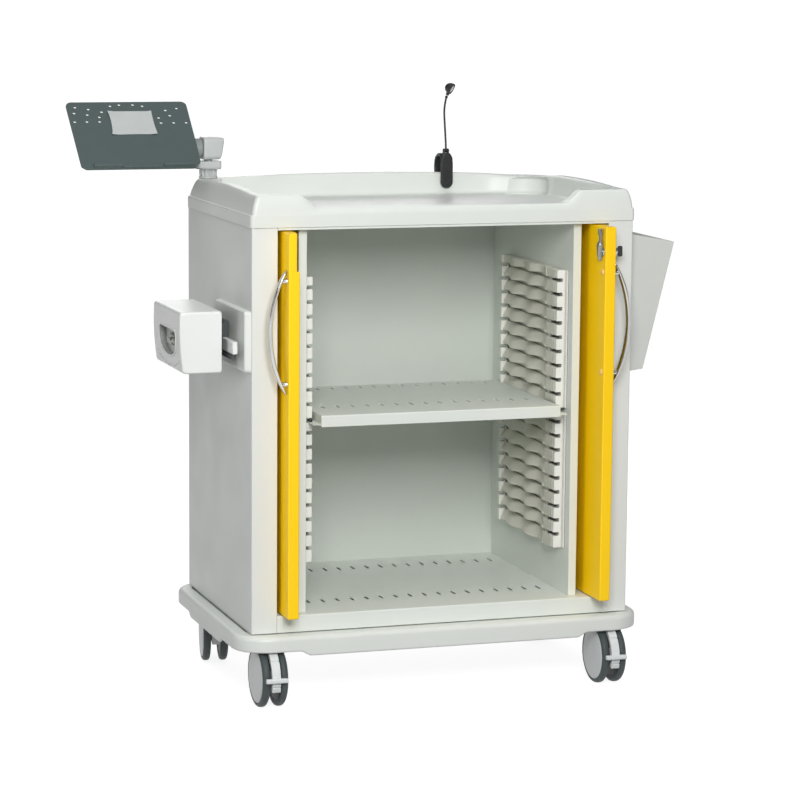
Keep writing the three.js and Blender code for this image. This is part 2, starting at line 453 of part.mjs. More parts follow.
// --------------------------------------------------------------------- doors
{
  for (const [tag, s, dx, dy] of [['left', -1, LDOOR_X, LDOOR_Y], ['right', 1, RDOOR_X, RDOOR_Y]]) {
    const xo = dx + s * DOOR_T / 2;              // outer face
    const xi = dx - s * DOOR_T / 2;              // face towards the interior
    const [xa, xb] = [Math.min(xo, xi), Math.max(xo, xi)];
    const y1 = dy + DOOR_L;
    const hy = dy + 14;                          // line of the handle
    const hz = (HANDLE_Z0 + HANDLE_Z1) / 2;
    // door: double-skinned, open towards its hinge edge
    let door = box(xa, xb, dy, y1, DOOR_Z0, DOOR_Z1)
      .subtract(box(xa + SHEET, xb - SHEET, dy + SHEET, y1 + 5, DOOR_Z0 + SHEET, DOOR_Z1 - SHEET));
    for (const k of [-1, 1]) door = door.subtract(cyl('x', 3, xa - 5, xb + 5, [hy, hz + k * HANDLE_BOLT], 10));
    if (s < 0) door = door.subtract(box(xb - 6, xb + 3, dy - 3, dy + 24, 882, DOOR_Z1 + 3));   // strike recess
    else door = door.subtract(cyl('x', 9.4, xa - 5, xb + 5, [dy + 16, LOCK_Z], 16));
    add(`${tag}_door`, door, 'yellow');
    // bow handle with its bolts
    const bow = [], n = 14;
    for (let i = 0; i <= n; i++) {
      const t = -1 + 2 * i / n;
      bow.push([xo + s * (GAP + HANDLE_BULGE * (1 - t * t)), hz + t * (HANDLE_Z1 - HANDLE_Z0) / 2]);
    }
    const bowIn = [];
    for (let i = n; i >= 0; i--) {
      const t = -1 + 2 * i / n;
      bowIn.push([xo + s * (GAP + Math.max(0, (HANDLE_BULGE - 4.5) * (1 - t * t * 1.06))), hz + t * (HANDLE_Z1 - HANDLE_Z0) / 2 * 0.985]);
    }
    let handle = prism('xz', [...bow, ...bowIn], hy - 6.5, hy + 6.5);
    for (const k of [-1, 1]) {
      const z = hz + k * HANDLE_BOLT;
      const o = [xo + s * GAP, xo + s * 9].sort((a, b) => a - b);
      handle = handle.add(cyl('x', 5.5, o[0], o[1], [hy, z], 12));
      const t = [xo + s * 5, xi - s * 2].sort((a, b) => a - b);
      handle = handle.add(cyl('x', 2.6, t[0], t[1], [hy, z], 10));
      const h = [xi - s * GAP, xi - s * 2.6].sort((a, b) => a - b);
      handle = handle.add(cyl('x', 5, h[0], h[1], [hy, z], 12));
    }
    add(`${tag}_door_handle`, handle, 'steel');
    // carrier behind the door's hinge edge, with shoes that run in the rails
    const cy0 = y1 + GAP, cy1 = y1 + 30;
    const ci = xi - s * -2, co = xo - s * 2;     // carrier a little thinner than the door
    const c0 = Math.min(ci, co), c1 = Math.max(ci, co);
    let carrier = prism('xy', [[c0, cy0], [c1, cy0], [c1, cy1], [c1 - SHEET, cy1], [c1 - SHEET, cy0 + SHEET],
      [c0 + SHEET, cy0 + SHEET], [c0 + SHEET, cy1], [c0, cy1]], 200, 955);
    for (const z of [206, 925]) {
      const e = [s * (WALL_X + 6), s * Math.abs(ci) + s * 1].sort((a, b) => a - b);
      carrier = carrier.add(box(e[0], e[1], cy0 + 6, cy0 + 26, z + 3, z + 17));
    }
    for (const z of [300, 560, 820]) {
      carrier = carrier.add(cyl('z', 4, z, z + 60, [co + s * 2, cy0 + 4.2], 10));
    }
    add(`${tag}_door_carrier`, carrier, 'zinc');
    // C-section rails on the pocket side of the partition
    for (const [pos, z] of [['lower', 206], ['upper', 925]]) {
      const x0 = WALL_X + SHEET + GAP;
      add(`${tag}_${pos}_door_rail`, prism('xz', flip(s, [[x0, z], [x0 + 12, z], [x0 + 12, z + 2], [x0 + 2, z + 2],
        [x0 + 2, z + 18], [x0 + 12, z + 18], [x0 + 12, z + 20], [x0, z + 20]]), PART_Y + 15, 232), 'zinc');
    }
    // cam lock in the right door
    if (s > 0) {
      const ly = dy + 16, lz = LOCK_Z;
      const body = union(
        cyl('x', 9, xa - 3, xb + 6, [ly, lz], 20),
        cyl('x', 12.5, xb + GAP, xb + 3, [ly, lz], 20),
      ).subtract(cyl('x', 5.5, xa - 10, xb + 20, [ly, lz], 16));
      add('lock_cylinder', body, 'steel');
      const cam = union(
        cyl('x', 5.2, xa - 7.5, xb + 8.5, [ly, lz], 16),
        prism('yz', [...arc(ly, lz + 41, 7, 0, 180, 6), ...arc(ly, lz - 6, 7, 180, 360, 6)], xa - 6.8, xa - 3.6),
        prism('yz', [...arc(ly, lz + 15, 6.5, 0, 180, 6), ...arc(ly, lz - 9, 3.5, 180, 360, 5)], xa - 13, xa - 6),
        box(xb + 7.5, xb + 20, ly - 1.4, ly + 1.4, lz - 11, lz + 11),
      );
      add('lock_cam_and_key', cam, 'steel');
    }
  }
}

// -------------------------------------------------------------- tablet board
{
  // fluted collar on the worktop corner
  const flute = [];
  for (let i = 0; i < 36; i++) {
    const a = i * 10 * Math.PI / 180, r = i % 3 === 0 ? 17.6 : 20;
    flute.push([POST_X + r * Math.cos(a), POST_Y + r * Math.sin(a)]);
  }
  const collar = prism('xy', flute, TOP_CREST + GAP, 1066.5)
    .subtract(cyl('z', 8.3, 1000, 1100, [POST_X, POST_Y], 16));
  add('post_collar', collar, 'light');
  // swivel block with its pin in the collar
  const swivel = union(
    cyl('z', 28, 1066.8, 1069.2, [POST_X, POST_Y], 24),
    prism('xy', rr(26, 21, 6, 3, POST_X, POST_Y), 1069, 1084),
    cyl('z', 8, TOP_CREST + 0.5, 1070, [POST_X, POST_Y], 16),
    cyl('z', 9, 1083, 1086.4, [POST_X, POST_Y], 16),
  );
  add('post_swivel_block', swivel, 'light');
  // tilt head: barrel across the post, with a pin for the board arm
  const head = union(
    prism('yz', rr(24, 24, 9, 4, POST_Y, TILT_Z), POST_X - 24.5, POST_X + 28),
    cyl('x', 6, POST_X - 52, POST_X - 20, [POST_Y, TILT_Z], 16),
    cyl('x', 9, POST_X + 27, POST_X + 31, [POST_Y, TILT_Z], 12),
  );
  add('tilt_head', head, 'light');

  const tilt = new THREE.Group();
  tilt.position.set(BOARD_X, BOARD_Y, BOARD_Z);
  tilt.rotation.x = BOARD_TILT;
  rack.add(tilt);
  const c = Math.cos(BOARD_TILT), s = Math.sin(BOARD_TILT);
  const ay = (POST_Y - BOARD_Y) * c + (TILT_Z - BOARD_Z) * s;
  const az = -(POST_Y - BOARD_Y) * s + (TILT_Z - BOARD_Z) * c;
  const hub0 = POST_X - 50 - BOARD_X, hub1 = POST_X - 24.9 - BOARD_X;
  const arm = union(
    cyl('x', 21, hub0, hub1, [ay, az], 24),
    box(-170, hub0 + 4, ay - 12, ay + 12, az - 9, az + 9),
    prism('xz', [[-168, az], [-128, az], [-110, -BOARD_T - 3], [-186, -BOARD_T - 3]], ay - 12, ay + 12),
    box(-196, -100, ay - 34, ay + 34, -BOARD_T - 4, -BOARD_T - GAP),
  ).subtract(cyl('x', 6.3, hub0 - 60, hub1 + 40, [ay, az], 16));
  add('board_arm', arm, 'slate', tilt);
  const corner = (w, h, rt, rb) => [
    ...arc(-rt, h - rt, rt, 0, 90, 5), ...arc(-w + rt, h - rt, rt, 90, 180, 5),
    [-w, rb], [-w + rb, 0], [-rb, 0], [0, rb],
  ];
  const board = union(
    prism('xy', corner(BOARD_W, BOARD_H, 13, 9), -BOARD_T, 0),
    box(-237, -177, 0.6, 8, -1, 9),
    box(-88, -24, 0.6, 8, -1, 9),
    box(-175, -90, 0.6, 4, -1, 4),
  );
  add('tablet_board', board, 'slate', tilt);
  add('board_label', box(-178.5, -83, 105, 179.5, GAP, GAP + 0.4), 'paper', tilt);
}

// ------------------------------------------------- side rail and glove box
{
  const x1 = -CAB_HX - GAP;
  const inset = 5;
  const pts = (d) => [[PAD_Y0 + d, PAD_Z0 + d + 8], [PAD_Y0 + d + 8, PAD_Z0 + d], [PAD_Y1 - d - 8, PAD_Z0 + d], [PAD_Y1 - d, PAD_Z0 + d + 8],
    [PAD_Y1 - d, PAD_Z1 - d - 8], [PAD_Y1 - d - 8, PAD_Z1 - d], [PAD_Y0 + d + 8, PAD_Z1 - d], [PAD_Y0 + d, PAD_Z1 - d - 8]];
  // the pad's edges are bevelled towards its outer face
  const g = loft([[0, pts(0)], [PAD_T - inset, pts(0)], [PAD_T, pts(inset)]]);
  const padGeo = toGeometry(g);
  padGeo.applyMatrix4(new THREE.Matrix4().makeBasis(
    new THREE.Vector3(0, 1, 0), new THREE.Vector3(0, 0, 1), new THREE.Vector3(1, 0, 0)));
  padGeo.scale(-1, 1, 1);
  padGeo.translate(x1, 0, 0);
  add('rail_pad', toSolid(padGeo), 'abs');
  // the front standoff is a clamp strip under the rail with an arm to the pad, the rear one a block behind the rail
  add('rail_standoff_front', prism('xy', [[RAIL_X0, -234], [RAIL_X1 - 1, -234], [RAIL_X1 - 1, -185], [x1 - PAD_T - GAP, -185], [x1 - PAD_T - GAP, -150],
    [RAIL_X0, -150]], 716, RAIL_Z0 - GAP), 'black');
  add('rail_standoff_rear', prism('xz', [[x1 - PAD_T - GAP, 752], [RAIL_X1 + GAP, 752], [RAIL_X1 + GAP, 727], [RAIL_X0 + 2, 727.6], [RAIL_X0 + 2, 716],
    [x1 - PAD_T - GAP, 706]], -52, -22), 'black');
  add('side_rail', box(RAIL_X0, RAIL_X1, RAIL_Y0, RAIL_Y1, RAIL_Z0, RAIL_Z1), 'white');

  // holder: pillow-shaped case with an opening on its outer face, flat above and round below
  const hz = (GLOVE_Z1 - GLOVE_Z0) / 2, hy = (GLOVE_Y1 - GLOVE_Y0) / 2;
  const zc = (GLOVE_Z0 + GLOVE_Z1) / 2, yc = (GLOVE_Y0 + GLOVE_Y1) / 2;
  const caseRing = (d) => rr(hy - d, hz - d, 12, 3, yc, zc);
  const stack = (rings) => {
    const q = toGeometry(loft(rings));
    q.applyMatrix4(new THREE.Matrix4().makeBasis(
      new THREE.Vector3(0, 1, 0), new THREE.Vector3(0, 0, 1), new THREE.Vector3(1, 0, 0)));
    return toSolid(q);
  };
  let holder = stack([[GLOVE_X0 - 4, caseRing(14)], [GLOVE_X0 + 2, caseRing(4)], [GLOVE_X0 + 14, caseRing(0)], [GLOVE_X1, caseRing(0)]]);
  holder = holder.subtract(stack([[GLOVE_X0 + 1.5, caseRing(8)], [GLOVE_X0 + 12, caseRing(3)], [GLOVE_X1 - 3, caseRing(3)]]));
  const mouth = [[-31, 763], [-39, 769], [-157, 769], [-165, 763]];
  for (let i = 0; i <= 16; i++) {
    const a = Math.PI * (1 + i / 16);
    mouth.push([-98 + 68 * Math.cos(a), 745 + 31 * Math.sin(a)]);
  }
  holder = holder.subtract(prism('yz', mouth, GLOVE_X0 - 10, GLOVE_X0 + 8));
  for (const y0 of [-160, -45]) {
    holder = holder.add(box(GLOVE_X1 - 1, RAIL_X0 - GAP, y0, y0 + 34, RAIL_Z0 - 3, RAIL_Z1 + 6));
    holder = holder.add(box(GLOVE_X1 - 1, RAIL_X1 + 4, y0, y0 + 34, RAIL_Z1 + GAP, RAIL_Z1 + 6));
    holder = holder.add(box(RAIL_X1 + GAP, RAIL_X1 + 4, y0, y0 + 34, RAIL_Z1 - 0.4, RAIL_Z1 + 6));
  }
  add('glove_box_holder', holder, 'white');
  add('glove_pack', stack([[GLOVE_X0 + 6, rr(60, 24, 20, 3, yc - 8, zc - 4)], [GLOVE_X0 + 16, rr(hy - 6, hz - 6, 6, 3, yc, zc)], [GLOVE_X1 - 4, rr(hy - 6, hz - 6, 6, 3, yc, zc)]]), 'paper');
}

// ----------------------------------------------------------- document pocket
{
  const x0 = CAB_HX + GAP;
  const profile = [[x0, 659], [454, 664.5], [520, 932], [x0, 952]];
  const wedge = prism('xz', profile, POCKET_Y0, POCKET_Y1)
    .subtract(prism('xz', [[x0 + 2.5, 662], [451.8, 667.2], [517.4, 932.4], [517.4, 990], [x0 + 2.5, 990]], POCKET_Y0 + 2.5, POCKET_Y1 - 2.5));
  add('document_pocket', wedge, 'body');
}

// ---------------------------------------------------------------------- lamp
{
  const a = LAMP_X - LAMP_W / 2, b = LAMP_X + LAMP_W / 2;
  const NECK_Y = 224, NECK_Z = 1094.5;
  // front jaw with the arch over the rim, and a fork for the foot of the neck
  const jaw = [[212.5, 1018], [214, 1014], [217, 1012.6], [220.2, 1014], [221.4, 1018], [221.4, 1050], [224, 1066], [231, 1075], [242, 1078.5], [254, 1077],
    [256, 1084], [244, 1089], [230, 1088.5], [219, 1083], [213, 1070]];
  let clip = prism('yz', jaw, a, b);
  for (const s of [-1, 1]) {
    const xs = [LAMP_X + s * 2.9, LAMP_X + s * 6.2].sort((m, n) => m - n);
    clip = clip.add(prism('yz', [[NECK_Y - 5, 1080], [NECK_Y + 5, 1080], [NECK_Y + 5, NECK_Z], ...arc(NECK_Y, NECK_Z, 5, 20, 160, 5), [NECK_Y - 5, NECK_Z]], xs[0], xs[1]));
  }
  clip = clip.subtract(cyl('x', 5, LAMP_X - 2.9, LAMP_X + 2.9, [NECK_Y, NECK_Z], 16));
  const lift = (solid) => solid.translate([0, 0, LAMP_UP]);
  add('lamp_clip', lift(clip), 'black');
  // rear jaw, hinged at the back of the arch
  const rear = [[257, 1076.6], [261.5, 1068], [263, 1054], [258.6, 1040], [251.4, 1031.4], [253.4, 1027], [259, 1029], [266, 1040], [269.4, 1055], [267.5, 1072], [259, 1083.4]];
  add('lamp_clip_jaw', lift(prism('yz', rear, a + 1.5, b - 1.5)), 'black');
  // gooseneck with an eye at its foot and a ball at its tip
  const tip = new THREE.Vector3(LAMP_X - 0.6, 222.2, 1212);
  const path = new THREE.CatmullRomCurve3([
    new THREE.Vector3(LAMP_X, NECK_Y, NECK_Z), new THREE.Vector3(LAMP_X - 0.5, NECK_Y, 1112), new THREE.Vector3(LAMP_X - 3, NECK_Y, 1150),
    new THREE.Vector3(LAMP_X - 4.6, NECK_Y, 1178), new THREE.Vector3(LAMP_X - 3.4, 223.4, 1196), tip]);
  const circle = new THREE.Shape(arc(0, 0, 2.4, 0, 315, 7).map(([u, v]) => new THREE.Vector2(u, v)));
  const ball = new THREE.SphereGeometry(3.3, 12, 8);
  ball.translate(tip.x, tip.y, tip.z);
  const neck = union(
    toSolid(new THREE.ExtrudeGeometry(circle, { steps: 14, bevelEnabled: false, extrudePath: path })),
    cyl('x', 4.2, LAMP_X - 2.5, LAMP_X + 2.5, [NECK_Y, NECK_Z], 14),
    toSolid(ball),
  );
  add('lamp_neck', lift(neck), 'black');
  // head: small hood on a short stem, with a lens that looks down and to the right
  const centre = new THREE.Vector3(LAMP_X + 6.5, 219.6, 1231.5);
  const aim = new THREE.Quaternion().setFromUnitVectors(new THREE.Vector3(0, 0, 1), new THREE.Vector3(0.72, -0.52, -0.46).normalize());
  const place = (solid) => toSolid(toGeometry(solid).applyQuaternion(aim).translate(centre.x, centre.y, centre.z));
  const up = centre.clone().sub(tip).normalize();
  const stemLen = 11, stem = new THREE.CylinderGeometry(4.2, 3.2, stemLen, 12);
  stem.applyQuaternion(new THREE.Quaternion().setFromUnitVectors(new THREE.Vector3(0, 1, 0), up));
  stem.translate(...tip.clone().addScaledVector(up, 3.9 + stemLen / 2).toArray());
  const body = revolve([[0, -11], [7, -9], [11.5, -2], [12.5, 6], [0, 6]], 16);
  const bowl = revolve([[0, -1], [9.4, -1], [10.6, 7.5], [0, 7.5]], 16);
  add('lamp_head', lift(place(body).add(toSolid(stem)).subtract(place(bowl))), 'black');
  add('lamp_lens', lift(place(revolve([[0, -0.7], [9, -0.7], [9.8, 4.6], [6, 5.6], [0, 6]], 16))), 'lens');
}

export default rack;
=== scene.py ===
# Mobile medical chart rack: sheet-steel cabinet on a moulded base with twin-wheel
# castors, yellow pocket doors, moulded runner panels and shelf, moulded worktop,
# tablet board on a post, glove-box holder on a side rail, document pocket and a
# small clip-on gooseneck lamp.
# Shapes are written in millimetres about the centre of the cabinet, with +X to the
# right, +Y to the back and the floor at z = 0, and are placed in metres.

import json
import math

import bmesh
import bpy
from mathutils import Matrix, Vector, noise
from mathutils.geometry import tessellate_polygon

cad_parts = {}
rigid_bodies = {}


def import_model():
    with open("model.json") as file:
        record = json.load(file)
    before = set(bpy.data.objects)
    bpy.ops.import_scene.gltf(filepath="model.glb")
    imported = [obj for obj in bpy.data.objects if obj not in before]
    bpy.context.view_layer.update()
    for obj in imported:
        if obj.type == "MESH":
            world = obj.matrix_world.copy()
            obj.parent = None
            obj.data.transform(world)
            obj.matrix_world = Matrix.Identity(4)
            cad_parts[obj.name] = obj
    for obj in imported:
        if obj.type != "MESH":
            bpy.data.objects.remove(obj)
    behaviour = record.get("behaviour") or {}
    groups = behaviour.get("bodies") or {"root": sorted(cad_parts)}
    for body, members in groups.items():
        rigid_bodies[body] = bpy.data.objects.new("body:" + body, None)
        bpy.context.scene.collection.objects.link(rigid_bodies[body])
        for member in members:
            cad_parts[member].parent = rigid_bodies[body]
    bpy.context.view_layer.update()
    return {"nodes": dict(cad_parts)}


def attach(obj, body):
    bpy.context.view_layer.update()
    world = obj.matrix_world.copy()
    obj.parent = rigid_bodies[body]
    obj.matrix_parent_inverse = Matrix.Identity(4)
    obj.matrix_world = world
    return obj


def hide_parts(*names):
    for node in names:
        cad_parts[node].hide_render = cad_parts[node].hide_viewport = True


for o in list(bpy.data.objects):
    bpy.data.objects.remove(o, do_unlink=True)

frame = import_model()
NODES = frame["nodes"]

SHIFT = Vector((79.0, 14.0, 0.0))


# ------------------------------------------------------------------- helpers
def sm(a, b, x):
    t = min(1.0, max(0.0, (x - a) / (b - a)))
    return t * t * (3 - 2 * t)


def arc(cx, cy, r, a0, a1, n):
    out = []
    for i in range(n + 1):
        a = math.radians(a0 + (a1 - a0) * i / n)
        out.append((cx + r * math.cos(a), cy + r * math.sin(a)))
    return out


def rrect(hx, hy, r, n=4, cx=0.0, cy=0.0):
    pts = []
    for sx, sy, a0 in ((1, 1, 0), (-1, 1, 90), (-1, -1, 180), (1, -1, 270)):
        pts += arc(cx + sx * (hx - r), cy + sy * (hy - r), r, a0, a0 + 90, n)
    return pts


def fillet(poly, r=0.0, n=4):
    """Rounds the corners of an outline; a corner's own radius may follow its two coordinates."""
    pts = []
    m = len(poly)
    for i, p in enumerate(poly):
        rad = p[2] if len(p) > 2 else r
        a, b, c = Vector(poly[i - 1][:2]), Vector(p[:2]), Vector(poly[(i + 1) % m][:2])
        u, v = a - b, c - b
        lu, lv = u.length, v.length
        if rad <= 0 or lu < 1e-9 or lv < 1e-9:
            pts.append((b.x, b.y))
            continue
        u, v = u / lu, v / lv
        ang = math.acos(max(-1, min(1, u.dot(v))))
        if ang > math.pi - 0.03:
            pts.append((b.x, b.y))
            continue
        t = min(rad / math.tan(ang / 2), 0.49 * lu, 0.49 * lv)
        rr = t * math.tan(ang / 2)
        cen = b + (u + v).normalized() * (rr / math.sin(ang / 2))
        p0, p1 = b + u * t - cen, b + v * t - cen
        a0, a1 = math.atan2(p0.y, p0.x), math.atan2(p1.y, p1.x)
        d = (a1 - a0 + math.pi) % (2 * math.pi) - math.pi
        for k in range(n + 1):
            q = a0 + d * k / n
            pts.append((cen.x + rr * math.cos(q), cen.y + rr * math.sin(q)))
    return pts


def mirror(s, pts):
    return list(pts) if s > 0 else [(-p[0],) + tuple(p[1:]) for p in reversed(pts)]


def put(plane, u, v, a):
    return (u, v, a) if plane == "xy" else (u, a, v) if plane == "xz" else (a, u, v)


def prism(plane, outer, a0, a1, holes=()):
    """An outline with holes, extruded along the third axis."""
    loops = [list(outer)] + [list(h) for h in holes]
    V, F = [], []
    n = sum(len(l) for l in loops)
    for a in (a0, a1):
        for l in loops:
            for p in l:
                V.append(put(plane, p[0], p[1], a))
    k = 0
    for l in loops:
        m = len(l)
        for i in range(m):
            j = (i + 1) % m
            F.append((k + i, k + j, n + k + j, n + k + i))
        k += m
    if holes:
        for t in tessellate_polygon([[Vector((p[0], p[1], 0)) for p in l] for l in loops]):
            F.append(tuple(t))
            F.append(tuple(n + i for i in reversed(t)))
    else:
        F.append(tuple(range(n)))
        F.append(tuple(range(2 * n - 1, n - 1, -1)))
    return V, F


def loft(rings, cap=(True, True)):
    n = len(rings[0])
    V = [tuple(p) for r in rings for p in r]
    F = []
    for k in range(len(rings) - 1):
        for i in range(n):
            j = (i + 1) % n
            F.append((k * n + i, k * n + j, (k + 1) * n + j, (k + 1) * n + i))
    if cap[0]:
        F.append(tuple(range(n - 1, -1, -1)))
    if cap[1]:
        m = (len(rings) - 1) * n
        F.append(tuple(range(m, m + n)))
    return V, F


def revolve(profile, origin, axis=(1, 0, 0), seg=40, cap=(True, True)):
    """[radius, distance along the axis] points turned about an axis through origin."""
    w = Vector(axis).normalized()
    u = w.orthogonal().normalized()
    v = w.cross(u)
    o = Vector(origin)
    rings = []
    for r, a in profile:
        ring = []
        for i in range(seg):
            q = 2 * math.pi * i / seg
            ring.append(tuple(o + w * a + (u * math.cos(q) + v * math.sin(q)) * max(r, 1e-5)))
        rings.append(ring)
    return loft(rings, cap)


def sweep(path, section, side):
    """A section carried along a path; side is the direction of the section's first axis."""
    path = [Vector(p) for p in path]
    side = Vector(side).normalized()
    rings = []
    for i, p in enumerate(path):
        t = (path[min(i + 1, len(path) - 1)] - path[max(i - 1, 0)]).normalized()
        a = (side - t * side.dot(t)).normalized()
        b = t.cross(a)
        sec = section(i / (len(path) - 1)) if callable(section) else section
        rings.append([tuple(p + a * u + b * v) for u, v in sec])
    return loft(rings)


def curve(points, n):
    """Smooth line through points."""
    P = [Vector(p) for p in points]
    P = [P[0] * 2 - P[1]] + P + [P[-1] * 2 - P[-2]]
    out = []
    for i in range(1, len(P) - 2):
        for k in range(n):
            t = k / n
            a, b, c, d = P[i - 1], P[i], P[i + 1], P[i + 2]
            out.append(0.5 * ((2 * b) + (c - a) * t + (2 * a - 5 * b + 4 * c - d) * t * t + (3 * b - a - 3 * c + d) * t ** 3))
    out.append(P[-2])
    return out


def join(*parts):
    V, F = [], []
    for v, f in parts:
        k = len(V)
        V += list(v)
        F += [tuple(i + k for i in q) for q in f]
    return V, F


def xf(part, fn):
    return [tuple(fn(*p)) for p in part[0]], part[1]


def to_bm(part):
    bm = bmesh.new()
    vs = [bm.verts.new(p) for p in part[0]]
    for f in part[1]:
        try:
            bm.faces.new([vs[i] for i in f])
        except ValueError:
            pass
    bmesh.ops.remove_doubles(bm, verts=bm.verts, dist=2e-4)
    bmesh.ops.dissolve_degenerate(bm, edges=bm.edges, dist=1e-4)
    bmesh.ops.recalc_face_normals(bm, faces=bm.faces)
    return bm


def from_bm(bm):
    bm.verts.index_update()
    out = [tuple(v.co) for v in bm.verts], [tuple(v.index for v in f.verts) for f in bm.faces]
    bm.free()
    return out


def bev(part, w, seg=2, ang=35.0, pick=None):
    """Rounds every edge sharper than ang degrees."""
    bm = to_bm(part)
    lim = math.radians(ang)
    edges = [e for e in bm.edges if len(e.link_faces) == 2 and e.calc_face_angle(0.0) > lim and (pick is None or pick(e))]
    bmesh.ops.bevel(bm, geom=edges, offset=w, offset_type="OFFSET", segments=seg, profile=0.5, affect="EDGES", clamp_overlap=True)
    return from_bm(bm)


def cells(xs, ys, zs, filled=None):
    """Blocks of a grid joined to one closed shape."""
    V, F, idx = [], [], {}

    def vert(i, j, k):
        if (i, j, k) not in idx:
            idx[(i, j, k)] = len(V)
            V.append((xs[i], ys[j], zs[k]))
        return idx[(i, j, k)]

    nx, ny, nz = len(xs) - 1, len(ys) - 1, len(zs) - 1

    def on(i, j, k):
        return 0 <= i < nx and 0 <= j < ny and 0 <= k < nz and (filled is None or filled(i, j, k))

    for i in range(nx):
        for j in range(ny):
            for k in range(nz):
                if not on(i, j, k):
                    continue
                if not on(i - 1, j, k):
                    F.append((vert(i, j, k), vert(i, j, k + 1), vert(i, j + 1, k + 1), vert(i, j + 1, k)))
                if not on(i + 1, j, k):
                    F.append((vert(i + 1, j, k), vert(i + 1, j + 1, k), vert(i + 1, j + 1, k + 1), vert(i + 1, j, k + 1)))
                if not on(i, j - 1, k):
                    F.append((vert(i, j, k), vert(i + 1, j, k), vert(i + 1, j, k + 1), vert(i, j, k + 1)))
                if not on(i, j + 1, k):
                    F.append((vert(i, j + 1, k), vert(i, j + 1, k + 1), vert(i + 1, j + 1, k + 1), vert(i + 1, j + 1, k)))
                if not on(i, j, k - 1):
                    F.append((vert(i, j, k), vert(i, j + 1, k), vert(i + 1, j + 1, k), vert(i + 1, j, k)))
                if not on(i, j, k + 1):
                    F.append((vert(i, j, k + 1), vert(i + 1, j, k + 1), vert(i + 1, j + 1, k + 1), vert(i, j + 1, k + 1)))
    bm = to_bm((V, F))
    bmesh.ops.dissolve_limit(bm, angle_limit=0.01, verts=bm.verts, edges=bm.edges)
    return from_bm(bm)


def rbox(x0, x1, y0, y1, z0, z1, r=1.0, seg=3):
    return bev(cells([min(x0, x1), max(x0, x1)], [y0, y1], [z0, z1]), r, seg)


def boolean(a, b, op="DIFFERENCE"):
    obs = []
    for part in (a, b):
        me = bpy.data.meshes.new("tmp")
        bm = to_bm(part)
        bm.to_mesh(me)
        bm.free()
        ob = bpy.data.objects.new("tmp", me)
        bpy.context.scene.collection.objects.link(ob)
        obs.append(ob)
    m = obs[0].modifiers.new("b", "BOOLEAN")
    m.operation = op
    m.solver = "EXACT"
    m.object = obs[1]
    dg = bpy.context.evaluated_depsgraph_get()
    me = bpy.data.meshes.new_from_object(obs[0].evaluated_get(dg))
    out = [tuple(v.co) for v in me.vertices], [tuple(p.vertices) for p in me.polygons]
    bpy.data.meshes.remove(me)
    for ob in obs:
        data = ob.data
        bpy.data.objects.remove(ob, do_unlink=True)
        bpy.data.meshes.remove(data)
    return out


def make(name, part, mat, body, rep=(), sharp=38.0, weighted=True):
    me = bpy.data.meshes.new(name)
    bm = to_bm(part)
    for v in bm.verts:
        v.co = (v.co + SHIFT) / 1000.0
    bm.to_mesh(me)
    bm.free()
    me.shade_smooth()
    me.set_sharp_from_angle(angle=math.radians(sharp))
    me.materials.append(mat)
    ob = bpy.data.objects.new(name, me)
    bpy.context.scene.collection.objects.link(ob)
    if weighted:
        w = ob.modifiers.new("weighted", "WEIGHTED_NORMAL")
        w.keep_sharp = True
        w.weight = 50
    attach(ob, body)
    if rep:
        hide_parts(*([rep] if isinstance(rep, str) else rep))
    return ob


# ----------------------------------------------------------------- materials
def lin(h):
    h = h.lstrip("#")
    out = []
    for i in (0, 2, 4):
        c = int(h[i:i + 2], 16) / 255
        out.append(c / 12.92 if c <= 0.04045 else ((c + 0.055) / 1.055) ** 2.4)
    return tuple(out)


